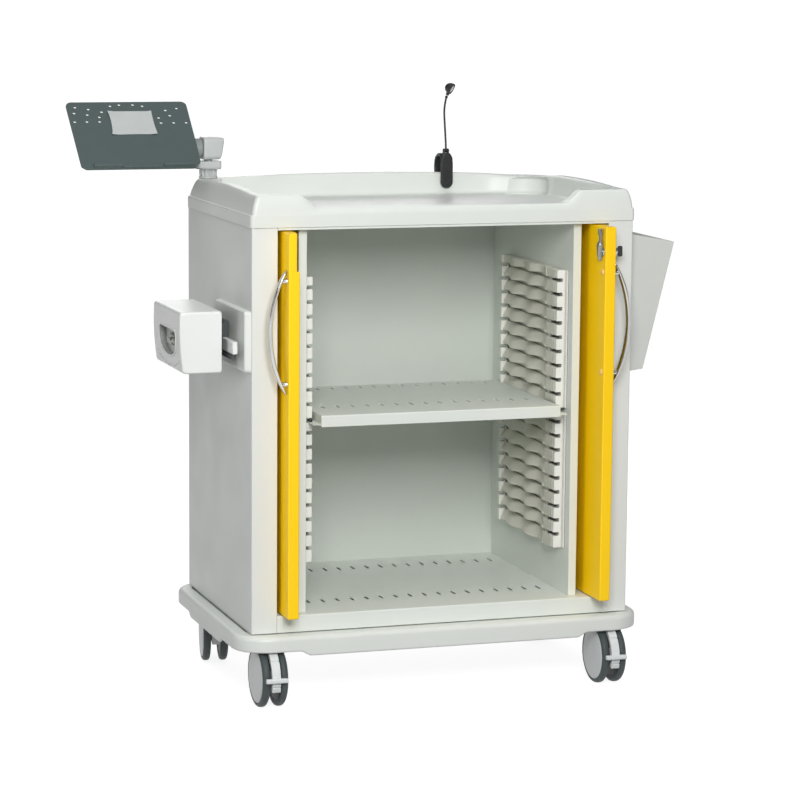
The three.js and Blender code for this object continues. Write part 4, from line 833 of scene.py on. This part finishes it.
AY = (PY - 89) * BC + (TZ - 1080.6) * BS
AZ = -(PY - 89) * BS + (TZ - 1080.6) * BC
HUB0, HUB1 = PX - 50 + 416, PX - 15.6 + 416
arm = join(tube([(6.4, HUB0), (18.5, HUB0), (20.4, HUB0 + 1.2), (21.0, HUB0 + 3), (21.0, HUB1 - 2.4), (20.2, HUB1 - 0.6), (19.0, HUB1), (6.4, HUB1)], (0, AY, AZ), (1, 0, 0), 48))
make("board_hub", xf(arm, on_board), HUBGREY, "board", "board_arm")
bar = join(rbox(-170, HUB0 + 1.5, AY - 12, AY + 12, AZ - 9, AZ + 9, 3.0, 3),
           bev(prism("xz", [(-168, AZ), (-128, AZ), (-110, -8), (-186, -8)], AY - 11.5, AY + 11.5), 1.5, 3),
           bev(prism("xy", rrect(42, 34, 6, 4, -148, AY), -9, -5.3), 1.0, 2, 50))
for u in (-34, 34):
    for v in (-26, 26):
        bar = join(bar, revolve([(0, -12.2), (3.2, -11.8), (4.4, -10.4), (4.6, -9.0), (0, -9.0)], (-148 + u, AY + v, 0), (0, 0, 1), 20))
make("board_bracket", xf(bar, on_board), SLATE, "board", None)

# plate with small holes that open out towards the back
PERF = [(-241.4, 189.9), (-213.9, 183.6), (-186.8, 174.8), (-246.6, 171.0), (-219.1, 165.8), (-194.3, 158.1), (-249.8, 143.4), (-223.6, 143.4), (-196.4, 143.4),
        (-167.2, 196.1), (-147.0, 199.7), (-117.5, 199.7), (-97.3, 195.5), (-49.6, 180.4), (-24.1, 186.5), (-68.8, 156.3), (-43.2, 163.2), (-66.8, 139.8),
        (-39.2, 139.8), (-12.0, 139.8)]
PERF = [(x - 2, y + 5) for x, y in PERF[:9]] + [(x, y + 2.5) for x, y in PERF[9:13]] + [(x, y + 3) for x, y in PERF[13:]]


def inset(poly, d):
    out = []
    m = len(poly)
    for i in range(m):
        a, b, c = Vector(poly[i - 1]), Vector(poly[i]), Vector(poly[(i + 1) % m])
        e0, e1 = (b - a).normalized(), (c - b).normalized()
        n0, n1 = Vector((-e0.y, e0.x)), Vector((-e1.y, e1.x))
        n = (n0 + n1).normalized()
        p = b + n * (d / max(0.4, n.dot(n0)))
        out.append((p.x, p.y))
    return out


edge = arc(-13, 199, 13, 0, 90, 8) + arc(-249, 199, 13, 90, 180, 8) + fillet([(-262, 60, 0), (-262, 9, 6), (-253, 0, 6), (-20, 0, 9), (-6, 17, 9), (-3.6, 60, 0)], 0, 4)
V, F = [], []
outer = [(0.9, 0.0), (0.25, -0.3), (0.0, -0.9), (0.0, -4.1), (0.25, -4.7), (0.9, -5.0)]
m = len(edge)
for d, z in outer:
    V += [(x, y, z) for x, y in inset(edge, d)]
for k in range(len(outer) - 1):
    for i in range(m):
        j = (i + 1) % m
        F.append((k * m + i, k * m + j, (k + 1) * m + j, (k + 1) * m + i))
HN = 16
hbase = len(V)
HZ = [(2.9, 0.0), (2.9, -0.8), (4.2, -2.6), (6.4, -5.0)]
for x, y in PERF:
    lim = min(6.4, 210.5 - y, 262 + x - 1.5, -x - 1.5)
    for r, z in HZ:
        r = min(r, max(2.9, lim))
        V += [(u, v, z) for u, v in arc(x, y, r, 0, 360 - 360 / HN, HN - 1)]
for h in range(len(PERF)):
    k0 = hbase + h * HN * len(HZ)
    for k in range(len(HZ) - 1):
        for i in range(HN):
            j = (i + 1) % HN
            F.append((k0 + k * HN + i, k0 + k * HN + j, k0 + (k + 1) * HN + j, k0 + (k + 1) * HN + i))
for side, row in ((0, 0), (len(outer) - 1, len(HZ) - 1)):
    loops = [[side * m + i for i in range(m)]]
    for h in range(len(PERF)):
        loops.append([hbase + h * HN * len(HZ) + row * HN + i for i in range(HN)])
    flat = [i for l in loops for i in l]
    for t in tessellate_polygon([[Vector((V[i][0], V[i][1], 0)) for i in l] for l in loops]):
        F.append(tuple(flat[i] for i in t))
board = [(V, F)]
for x0, x1 in ((-237, -177), (-88, -24)):
    lip = fillet([(-0.5, 0.6), (9, 0.6, 1.6), (9, 8, 1.6), (6.6, 8, 1.0), (5.2, 4.9, 2.4), (-0.5, 4.6)], 0, 3)
    ledge = prism("xy", [(p[0], p[1]) for p in lip], 0, 1)
    ledge = ([(x0 + (x1 - x0) * p[2], p[1], p[0]) for p in ledge[0]], ledge[1])
    board.append(bev(ledge, 0.5, 2, 60))
board.append(bev(cells([-175, -90], [0.6, 4], [-0.5, 4]), 1.2, 3))
make("tablet_plate", xf(join(*board), on_board), SLATE, "board", "tablet_board", sharp=40)

# blank paper slip, a little curled
V, F = [], []
NU, NV = 16, 12
for z in (0.35, 0.75):
    for j in range(NV + 1):
        for i in range(NU + 1):
            u, v = i / NU, j / NV
            x = -179.3 + 95 * u + 2.3 * v
            x += 3.4 * (1 - (2 * v - 1) ** 2) * (1 - u) - 0.8 * (1 - (2 * v - 1) ** 2) * u + 2.0 * (1 - v) * u
            y = 105 + 74.4 * v + 0.8 * math.sin(math.pi * u)
            lift = 2.6 * max(0, abs(2 * u - 1) - 0.55) ** 2 / 0.2 * (0.35 + 0.65 * abs(2 * v - 1)) + 0.4 * math.sin(3.0 * u + 1.7 * v)
            V.append((x, y, z + max(0.0, lift)))
m = (NU + 1) * (NV + 1)
for j in range(NV):
    for i in range(NU):
        a = j * (NU + 1) + i
        q = (a, a + 1, a + NU + 2, a + NU + 1)
        F.append(q)
        F.append(tuple(m + k for k in reversed(q)))
rim = [i for i in range(NU + 1)] + [j * (NU + 1) + NU for j in range(1, NV + 1)] + [NV * (NU + 1) + i for i in range(NU - 1, -1, -1)] + [j * (NU + 1) for j in range(NV - 1, 0, -1)]
for k in range(len(rim)):
    a, b = rim[k], rim[(k + 1) % len(rim)]
    F.append((a, b, m + b, m + a))
make("paper_slip", xf((V, F), on_board), PAPER, "board", "board_label", sharp=60, weighted=False)


# ------------------------------------------------- side rail and glove holder
def pad_ring(x, y0, y1, z0, z1, r):
    return [(x, y, z) for y, z in rrect((y1 - y0) / 2, (z1 - z0) / 2, r, 6, (y0 + y1) / 2, (z0 + z1) / 2)]


pad = loft([pad_ring(-410.3, -256, -8, 690, 815, 9), pad_ring(-411.5, -255.4, -8.2, 690, 815, 9), pad_ring(-419.6, -248.6, -10, 690.6, 814.4, 8), pad_ring(-421.4, -246.6, -11.4, 691.8, 813.2, 7),
            pad_ring(-422.1, -244.8, -13, 693.4, 811.6, 6.4), pad_ring(-422.3, -243, -15, 695, 810, 6)])
# the pad's lighter colour is painted light against the holder's shadow
make("rail_backing_pad", pad, PAD_LIT, "cabinet", "rail_pad", sharp=42)
make("accessory_rail", rbox(-445, -435, -242, 24, 728, 753, 1.6, 3), RAIL, "cabinet", "side_rail", sharp=50)
clamp = fillet([(-445, -234, 1.5), (-436, -234, 1.5), (-436, -185, 2), (-422.6, -185, 0.5), (-422.6, -150, 0.5), (-445, -150, 1.5)], 0, 3)
make("rail_bracket_front", bev(prism("xy", clamp, 716, 727.7), 1.0, 2, 50), DARK, "cabinet", "rail_standoff_front")
prof = fillet([(-422.6, 752, 1), (-434.7, 752, 1), (-434.7, 727, 0.5), (-443, 727.4, 1.5), (-443, 716, 3), (-422.6, 706, 3)], 0, 3)
make("rail_bracket_rear", bev(prism("xz", prof, -52, -22), 1.2, 2, 50), DARK, "cabinet", "rail_standoff_rear")


def lean(x, y, z):
    return (x + 0.045 * (748 - z) * sm(-457, -500, x), y, z)


def case_ring(y, d):
    """Section of the case across Y: flat back, bulged outer face."""
    out = []
    x0, x1, z0, z1 = -541 + d, -457, 685 + d, 811 - d
    out += arc(x1 - 3, z0 + 3, 3, -90, 0, 4) + arc(x1 - 3, z1 - 3, 3, 0, 90, 4)
    r = 8
    out += arc(x0 + r, z1 - r, r, 90, 172, 6)
    for k in range(1, 12):
        t = k / 12
        out.append((x0 - 2.6 * math.sin(math.pi * t), z1 - r - (z1 - z0 - 2 * r) * t))
    out += arc(x0 + r, z0 + r, r, 188, 270, 6)
    return [lean(x, y, z) for x, z in out]


def case_shell(y0, y1, grow, steps):
    rings = []
    for t, d in steps:
        rings.append(case_ring(y0 + t, grow + d))
    for t, d in reversed(steps):
        rings.append(case_ring(y1 - t, grow + d))
    return loft(rings)


case = case_shell(-200, 26, 0, ((0, 4.6), (0.5, 2.7), (1.6, 1.2), (3.2, 0.35), (6, 0)))
cavity = xf(case_shell(-196, 22, 0, ((0, 3.5), (3, 3.0))), lambda x, y, z: (min(x, -460.0) + 2.6 * sm(-500, -540, x), y, z))


def mouth(g=0.0):
    """Opening of the holder: flat above, round below."""
    out = arc(-40, 759, 10 + g, 0, 90, 8) + [(-60, 769 + g), (-80, 769 + g), (-98, 769 + g), (-116, 769 + g), (-136, 769 + g)] + arc(-156, 759, 10 + g, 90, 180, 8)
    for i in range(33):
        q = math.pi * (1 + i / 32)
        out.append((-98 + (68 + g) * math.cos(q), 745 + (31 + g) * math.sin(q)))
    return out


case = boolean(case, cavity)
case = boolean(case, prism("yz", mouth(), -560, -530))
make("glove_case", case, HOLDER, "cabinet", "glove_box_holder", sharp=35)
# moulded rim round the opening and a raised line under it
path = mouth(2.0)


def face_x(y, z):
    t = (811 - 8 - z) / (811 - 685 - 16)
    x = -541 - 2.6 * math.sin(math.pi * min(1, max(0, t)))
    return x + 0.045 * (748 - z)


rings = []
for i in range(len(path)):
    y, z = path[i]
    a, b = path[i - 1], path[(i + 1) % len(path)]
    ty, tz = b[0] - a[0], b[1] - a[1]
    l = math.hypot(ty, tz)
    ny, nz = tz / l, -ty / l
    ring = []
    for k in range(10):
        q = 2 * math.pi * k / 10
        e, h = 2.6 * math.cos(q), 1.7 * math.sin(q)
        ring.append((face_x(y + ny * e, z + nz * e) - 0.2 - h, y + ny * e, z + nz * e))
    rings.append(ring)
rings.append(rings[0])
make("glove_case_rim", loft(rings, (False, False)), HOLDER, "cabinet", None, sharp=70)
line = []
for i in range(41):
    t = i / 40
    y = 4 - 186 * t
    z = 724 - 30 * math.sin(math.pi * (0.12 + 0.80 * t)) - 6 * t
    line.append((face_x(y, z) - 0.2, y, z))
make("glove_case_ridge", sweep(line, lambda u: [(2.0 * math.cos(2 * math.pi * k / 8), 1.1 * math.sin(2 * math.pi * k / 8)) for k in range(8)], (0, 0, 1)), HOLDER, "cabinet", None, sharp=80)
hooks = []
for y0 in (-160, -45):
    prof = fillet([(-458, 726, 1), (-445.3, 726, 1), (-445.3, 753.3, 0.4), (-434.7, 753.3, 0.4), (-434.7, 752.4, 0.2), (-431, 752.4, 1), (-431, 786, 3), (-436, 789, 3), (-446, 778, 4), (-458, 759, 2)], 0, 3)
    hooks.append(bev(prism("xz", prof, y0, y0 + 34), 1.0, 2, 50))
make("glove_case_hooks", join(*hooks), DARK, "cabinet", None)

# gloves: crumpled film that bulges towards the opening
V, F = [], []
NU, NV = 64, 40


def film(u, v, seed):
    y, z = -95 + 84 * u, 744 + 38 * v
    p = Vector((y * 0.045, z * 0.060, seed))
    f = noise.noise(p) * 6 + abs(noise.noise(p * 2.1)) * 7 + abs(noise.noise(p * 4.3 + Vector((3, 1, 7)))) * 3
    edge = max(abs(u), abs(v))
    x = -531 + 3.5 * (u * u + v * v) + 6 * sm(0.78, 1.0, edge) + f * (1 - 0.7 * sm(0.8, 1.0, edge)) + 24 * sm(-0.05, 0.6, v) + 9 * sm(0.5, 0.95, abs(u))
    return x, y, z


for j in range(NV + 1):
    for i in range(NU + 1):
        V.append(film(-1 + 2 * i / NU, -1 + 2 * j / NV, 1.7))
m = len(V)
for j in range(NV + 1):
    for i in range(NU + 1):
        u, v = -1 + 2 * i / NU, -1 + 2 * j / NV
        V.append((-466 + 2 * noise.noise(Vector((u * 3, v * 3, 9))), -95 + 84 * u, 744 + 38 * v))
for j in range(NV):
    for i in range(NU):
        a = j * (NU + 1) + i
        q = (a, a + 1, a + NU + 2, a + NU + 1)
        F.append(q)
        F.append(tuple(m + k for k in reversed(q)))
rim = [i for i in range(NU + 1)] + [j * (NU + 1) + NU for j in range(1, NV + 1)] + [NV * (NU + 1) + i for i in range(NU - 1, -1, -1)] + [j * (NU + 1) for j in range(NV - 1, 0, -1)]
for k in range(len(rim)):
    a, b = rim[k], rim[(k + 1) % len(rim)]
    F.append((a, b, m + b, m + a))
gloves = [(V, F)]
# cuffs and fingers pulled up towards the opening
for pts, r in (([(-520, -128, 728), (-531, -118, 738), (-534, -104, 742), (-529, -90, 736), (-521, -82, 728)], 6.5),
               ([(-520, -110, 740), (-530, -98, 751), (-533, -84, 750), (-528, -70, 742), (-520, -62, 734)], 6.0),
               ([(-520, -84, 724), (-530, -74, 733), (-533, -62, 739), (-528, -50, 736), (-520, -44, 728)], 6.0),
               ([(-518, -140, 738), (-528, -134, 747), (-530, -124, 752), (-524, -114, 750), (-517, -108, 744)], 5.0)):
    line = curve(pts, 7)

    def fold(u, r=r, k=len(gloves)):
        out = []
        for i in range(14):
            q = 2 * math.pi * i / 14
            w = r * (0.82 + 0.18 * math.cos(3 * q + 9 * u + k)) * (0.45 + 0.55 * math.sin(math.pi * min(1, max(0, 0.06 + 0.88 * u))))
            out.append((w * math.cos(q), 0.72 * w * math.sin(q)))
        return out

    gloves.append(sweep(line, fold, (0, 0.3, 1)))
pack = make("glove_stack_folded", join(*gloves), GLOVE, "cabinet", "glove_pack", sharp=80, weighted=False)


# ---------------------------------------------------------------------- lamp
LX = 173.0


def at_lamp(x, y, z):
    """The lamp is drawn about x = 173 and stands at x = 164, 4 mm higher."""
    return (x - 9, y, z + 4)


leg = arc(LX, 1026.4, 13.8, 180, 360, 18) + [(LX + 13.6, 1066), (LX + 12.4, 1080)] + arc(LX, 1080, 10.5, 20, 160, 8) + [(LX - 12.4, 1080), (LX - 13.6, 1066)]
clip = [bev(prism("xz", leg, 212.8, 220.6), 2.6, 4, 50)]
for dx in (-7.2, -2.4, 2.4, 7.2):
    z0 = 1024.0 - 0.4 * (7.2 - abs(dx))
    clip.append(bev(cells([LX + dx - 0.9, LX + dx + 0.9], [211.9, 214.5], [z0 - 6, 1066]), 0.7, 2))
over = curve([(LX, 217.2, 1064), (LX, 218.2, 1074), (LX, 222.6, 1081.4), (LX, 231, 1085.4), (LX, 243, 1085.6), (LX, 251, 1082.6), (LX, 255, 1079.6)], 6)


def band(w, h):
    return [(u, v) for u, v in rrect(w, h, min(w, h) * 0.9, 4)]


clip.append(sweep(over, lambda u: band(13.2 - 0.7 * u, 3.4 - 0.6 * u), (1, 0, 0)))
for s in (-1, 1):
    ear = [(219, 1080), (229, 1080), (229, 1094.5)] + arc(224, 1094.5, 5, 15, 165, 8) + [(219, 1094.5)]
    clip.append(bev(prism("yz", ear, LX + s * 2.9, LX + s * 6.0), 0.8, 2, 50))
clip.append(revolve([(0, -7.2), (2.6, -7.0), (3.2, -6.0), (0, -6.0)], (LX, 224, 1094.5), (1, 0, 0), 20))
clip.append(revolve([(0, 7.2), (2.6, 7.0), (3.2, 6.0), (0, 6.0)], (LX, 224, 1094.5), (1, 0, 0), 20))
make("lamp_clip_front", xf(join(*clip), at_lamp), BLACK, "cabinet", "lamp_clip", sharp=45)
rear = curve([(LX, 258.4, 1079.6), (LX, 263.8, 1071), (LX, 266.4, 1055), (LX, 262.6, 1041), (LX, 256.6, 1032), (LX, 254.4, 1029.6)], 7)
make("lamp_clip_rear", xf(sweep(rear, lambda u: band(12.4, 3.0 - 0.9 * sm(0.75, 1, u)), (1, 0, 0)), at_lamp), BLACK, "lamp_jaw", "lamp_clip_jaw", sharp=45)
neck = curve([(173, 224, 1096), (172.5, 224, 1112), (170, 224, 1150), (168.4, 224, 1178), (169.6, 223.4, 1196), (172.4, 222.2, 1212)], 14)
NP = len(neck)
parts = [sweep(neck, lambda u: [((2.2 + 0.16 * math.cos(u * NP * math.pi)) * math.cos(2 * math.pi * k / 12), (2.2 + 0.16 * math.cos(u * NP * math.pi)) * math.sin(2 * math.pi * k / 12)) for k in range(12)], (0, 1, 0)),
         revolve([(0, -2.5), (3.8, -2.5), (4.2, -2.1), (4.2, 2.1), (3.8, 2.5), (0, 2.5)], (LX, 224, 1094.5), (1, 0, 0), 24),
         revolve([(0, -3.3)] + [(3.3 * math.cos(math.radians(a)), 3.3 * math.sin(math.radians(a))) for a in range(-75, 90, 15)] + [(0, 3.3)], (172.4, 222.2, 1212), (0, 0, 1), 20)]
make("lamp_gooseneck", xf(join(*parts), at_lamp), BLACK, "lamp_neck", "lamp_neck", sharp=60)
HC, AIM = Vector((179.5, 219.6, 1231.5)), Vector((0.72, -0.52, -0.46)).normalized()
TIP = Vector((172.4, 222.2, 1212))
UP = (HC - TIP).normalized()
pod = join(tube([(0.01, -11), (4.5, -10.4), (8.4, -7.8), (11.0, -3.4), (12.2, 1.4), (12.5, 5.0), (12.2, 6.0), (11.4, 6.2), (10.7, 5.6), (10.4, 2.0), (9.6, -0.8), (0.01, -0.9)], HC, AIM, 36),
           revolve([(0, 3.9), (3.2, 3.9), (3.6, 6), (4.4, 11), (5.2, 15.0), (0, 15.0)], TIP, UP, 24))
make("lamp_pod", xf(pod, at_lamp), BLACK, "lamp_head", "lamp_head", sharp=50)
make("lamp_lens_dome", xf(revolve([(0, -0.6), (9.0, -0.6), (9.8, 3.4), (9.2, 4.6), (7.0, 5.5), (4.0, 6.0), (0, 6.2)], HC, AIM, 32), at_lamp), LENS, "lamp_head", "lamp_lens", sharp=60)


# ------------------------------------------------------------------- castors
for tag, sx, sy, braked in (("fl", -1, -1, True), ("fr", 1, -1, True), ("rl", -1, 1, False), ("rr", 1, 1, False)):
    cx, cy = sx * 370.0, sy * 211.0
    wy, wz = cy - 29.0, 62.5
    body = f"castor_{tag}"
    # the rear left castor stands a little turned about its stem
    tc, ts = (math.cos(math.radians(-9)), math.sin(math.radians(-9))) if tag == "rl" else (1.0, 0.0)

    def turned(x, y, z, cx=cx, cy=cy, tc=tc, ts=ts):
        return (cx + (x - cx) * tc - (y - cy) * ts, cy + (x - cx) * ts + (y - cy) * tc, z)

    def rad(r, a):
        return (wy + r * math.cos(math.radians(a)), wz + r * math.sin(math.radians(a)))

    plate = [(cy + 17, 127), (cy - 20, 127), (cy - 46, 96)] + arc(wy, wz, 21, 165, 345, 14) + [(cy + 6, 98)]
    h0, h1 = (40, 98) if braked else (40, 196)
    nh = 10 if braked else 24
    hood = arc(wy, wz, 61, h0, h1, nh) + arc(wy, wz, 38, h1, h0, nh)
    fork = join(bev(prism("yz", plate, cx - 5, cx + 5), 1.2, 2, 40),
                bev(prism("yz", hood, cx - 9, cx + 9), 1.8, 3, 40),
                revolve([(0, 125.0), (14, 125.2), (17.6, 126.2), (19, 127.6), (19, 129.6), (18.2, 130.6), (0, 130.6)], (cx, cy, 0), (0, 0, 1), 36),
                revolve([(0, 128), (6, 128), (6, 144.4), (5.4, 145), (0, 145)], (cx, cy, 0), (0, 0, 1), 20),
                revolve([(0, -26.6), (5, -26.6), (5, 26.6), (0, 26.6)], (cx, wy, wz), (1, 0, 0), 24))
    # painted shade: the yokes of the braked front castors are coloured black to stand in for the shade between their
    # wheels
    make(f"castor_{tag}_yoke", xf(fork, turned), BLACK if braked else LIGHT, body, f"castor_{tag}_fork", sharp=45)
    for half, s in (("left", -1), ("right", 1)):
        wheel = f"castor_{tag}_wheel_{half}"
        a, b = 10.0, 28.0
        tyre = tube([(50, a + 1.2), (56, a + 0.6), (59.4, a + 1.3), (61.4, a + 3.0), (62.3, a + 5.2), (62.5, a + 7.6), (62.5, b - 8.4), (62.3, b - 6.2), (61.5, b - 4.2),
                     (59.8, b - 2.4), (57.6, b - 1.3), (55.6, b - 0.9), (54.7, b - 1.3), (54.4, b - 2.4), (50, b - 3.0)], (cx, wy, wz), (s, 0, 0), 72)
        make(f"{wheel}_tyre", xf(tyre, turned), TYRE, wheel, wheel, sharp=60)
        web = tube([(5.4, a + 0.4), (14, a + 0.4), (16, a + 2.6), (44, a + 2.8), (52, a + 1.6), (54.0, a + 3), (54.0, b - 3.6), (5.4, b - 3.6)], (cx, wy, wz), (s, 0, 0), 48)
        make(f"{wheel}_web", xf(web, turned), DARK, wheel, None, sharp=60)
        hub = tube([(5.4, b - 3.4), (54.2, b - 3.4), (54.2, b - 2.4), (53.6, b - 1.5), (52.2, b - 1.0), (49.2, b - 0.55), (48.6, b - 0.95), (47.8, b - 0.45),
                    (38, b + 0.15), (24, b + 0.55), (10, b + 0.75), (0.01, b + 0.8), (0.01, b - 0.6), (5.4, b - 0.6)], (cx, wy, wz), (s, 0, 0), 64)
        make(f"{wheel}_hub", xf(hub, turned), LIGHT, wheel, None, sharp=60)
    if braked:
        out = arc(wy, wz, 66.8, 112, 140, 8) + [rad(64.6, 140.3), rad(64.6, 142.4)] + arc(wy, wz, 66.8, 142.7, 187, 12) + [rad(64.6, 187.3), rad(64.6, 189.4)]
        out += arc(wy, wz, 66.8, 189.7, 198, 3) + arc(wy, wz, 57, 198, 112, 20)
        pedal = [bev(prism("yz", out, cx - 9, cx + 9), 0.9, 3, 40)]
        for s in (-1, 1):
            pedal.append(tube([(5.4, s * 5.7), (11.2, s * 5.7), (12, s * 6.3), (12, s * 8.4), (11.2, s * 9), (5.4, s * 9)], (cx, wy, wz), (1, 0, 0), 32))
            x0, x1 = sorted((cx + s * 5.8, cx + s * 8.8))
            web = prism("yz", [rad(11.5, 245), rad(11.5, 85), rad(58.5, 158), rad(58.5, 182)], x0, x1)
            pedal.append(bev(boolean(web, revolve([(0, -30), (5.6, -30), (5.6, 30), (0, 30)], (cx, wy, wz), (1, 0, 0), 24)), 0.5, 1, 40))
        bar = fillet([rad(64.0, 171.5), rad(64.0, 180.5), rad(74.6, 179.5), rad(74.6, 172.5)], 2.6, 4)
        pedal.append(bev(prism("yz", bar, cx - 23, cx + 23), 2.2, 3, 50))
        make(f"castor_{tag}_toe_pedal", join(*pedal), PALE, f"castor_{tag}_brake_pedal", f"castor_{tag}_brake_pedal", sharp=45)


# ---------------------------------------------------- pieces kept as they are
def keep(node, mat, w, seg=2):
    o = NODES[node]
    o.data.materials.clear()
    o.data.materials.append(mat)
    wd = o.modifiers.new("weld", "WELD")
    wd.merge_threshold = 0.00002
    bv = o.modifiers.new("edge", "BEVEL")
    bv.width = w / 1000
    bv.segments = seg
    bv.limit_method = "ANGLE"
    bv.angle_limit = math.radians(40)
    bv.harden_normals = False


# the back panel takes the darker copy of the body paint: painted shade
keep("back_panel", BACK_SHADED, 0.5)
keep("roof_panel", INNER, 0.5)
# the document pocket uses the darker copy of the body paint: painted shade
keep("document_pocket", POCKET_SHADED, 0.9)
for n in ("chassis_beam_front", "chassis_beam_rear", "left_door_carrier", "right_door_carrier", "left_lower_door_rail", "right_lower_door_rail",
          "left_upper_door_rail", "right_upper_door_rail"):
    keep(n, ZINC, 0.4)


# --------------------------------------------------- camera, light and floor
yaw, pitch, roll = 0.317, 0.147, 0.008
fw = Vector((math.sin(yaw) * math.cos(pitch), math.cos(yaw) * math.cos(pitch), -math.sin(pitch)))
rt = Vector((math.cos(yaw), -math.sin(yaw), 0))
up = rt.cross(fw)
r2 = rt * math.cos(roll) + up * math.sin(roll)
u2 = -rt * math.sin(roll) + up * math.cos(roll)
cam = bpy.data.cameras.new("view")
cam.sensor_fit = "HORIZONTAL"
cam.sensor_width = 36.0
cam.lens = 36.0 * 2975.121 / 787.0
cam.clip_end = 2000.0
co = bpy.data.objects.new("view", cam)
bpy.context.scene.collection.objects.link(co)
M = Matrix.Identity(4)
for i in range(3):
    M[i][0], M[i][1], M[i][2] = r2[i], u2[i], -fw[i]
M[0][3], M[1][3], M[2][3] = -1.9017, -5.9443, 1.5271
co.matrix_world = M
bpy.context.scene.camera = co


def sun(name, azimuth, elevation, strength, spread, colour=(1, 1, 1)):
    """Azimuth is measured from the front, positive to the left."""
    d = bpy.data.lights.new(name, "SUN")
    d.energy = strength
    d.angle = math.radians(spread)
    d.color = colour
    o = bpy.data.objects.new(name, d)
    bpy.context.scene.collection.objects.link(o)
    a, e = math.radians(azimuth), math.radians(elevation)
    v = Vector((-math.sin(a) * math.cos(e), -math.cos(a) * math.cos(e), math.sin(e)))
    o.rotation_euler = v.to_track_quat("Z", "Y").to_euler()
    return o


def panel_light(name, at, to, w, h, power, colour=(1, 1, 1)):
    d = bpy.data.lights.new(name, "AREA")
    d.shape = "RECTANGLE"
    d.size, d.size_y = w, h
    d.energy = power
    d.color = colour
    o = bpy.data.objects.new(name, d)
    bpy.context.scene.collection.objects.link(o)
    o.location = at
    o.rotation_euler = (Vector(at) - Vector(to)).to_track_quat("Z", "Y").to_euler()
    return o


panel_light("key", (-0.74, -3.40, 2.10), (0.05, -0.25, 0.70), 1.6, 1.2, 94)
panel_light("left_fill", (-3.4, -1.0, 1.05), (0, 0, 0.65), 1.6, 1.4, 9)
panel_light("back", (0.5, 3.4, 2.0), (0.0, 0.2, 0.75), 2.0, 1.4, 22)
sun("top", 10, 75, 0.74, 70)
# a soft panel on the left that lights the door leaves only
fill = panel_light("door_fill", (-3.2, -2.4, 0.9), (0.05, -0.30, 0.55), 1.4, 1.6, 42)
leaves = bpy.data.collections.new("door_leaves")
for n in ("left_door_leaf", "right_door_leaf"):
    leaves.objects.link(bpy.data.objects[n])
fill.light_linking.receiver_collection = leaves

me = bpy.data.meshes.new("floor")
me.from_pydata([(-400, -400, 0), (400, -400, 0), (400, 400, 0), (-400, 400, 0)], [], [(0, 1, 2, 3)])
floor = bpy.data.objects.new("floor", me)
bpy.context.scene.collection.objects.link(floor)
fm = bpy.data.materials.new("pale_floor")
fm.use_nodes = True
fn = fm.node_tree
fb = fn.nodes["Principled BSDF"]
tc = fn.nodes.new("ShaderNodeTexCoord")
nz = fn.nodes.new("ShaderNodeTexNoise")
nz.inputs["Scale"].default_value = 2.0
rp = fn.nodes.new("ShaderNodeValToRGB")
rp.color_ramp.elements[0].color = (0.44, 0.44, 0.44, 1)
rp.color_ramp.elements[1].color = (0.46, 0.46, 0.46, 1)
fn.links.new(tc.outputs["Object"], nz.inputs["Vector"])
fn.links.new(nz.outputs["Fac"], rp.inputs["Fac"])
fn.links.new(rp.outputs["Color"], fb.inputs["Base Color"])
fb.inputs["Roughness"].default_value = 0.9
fb.inputs["Specular IOR Level"].default_value = 0.0
fb.inputs["Emission Color"].default_value = (1, 1, 1, 1)
fb.inputs["Emission Strength"].default_value = 0.86
me.materials.append(fm)
floor.visible_diffuse = False

world = bpy.data.worlds.new("studio")
world.use_nodes = True
world.node_tree.nodes["Background"].inputs["Color"].default_value = (1.0, 1.0, 1.0, 1)
world.node_tree.nodes["Background"].inputs["Strength"].default_value = 0.2
bpy.context.scene.world = world
bpy.context.scene.view_settings.view_transform = "Standard"
bpy.context.scene.view_settings.look = "None"

bpy.context.view_layer.update()
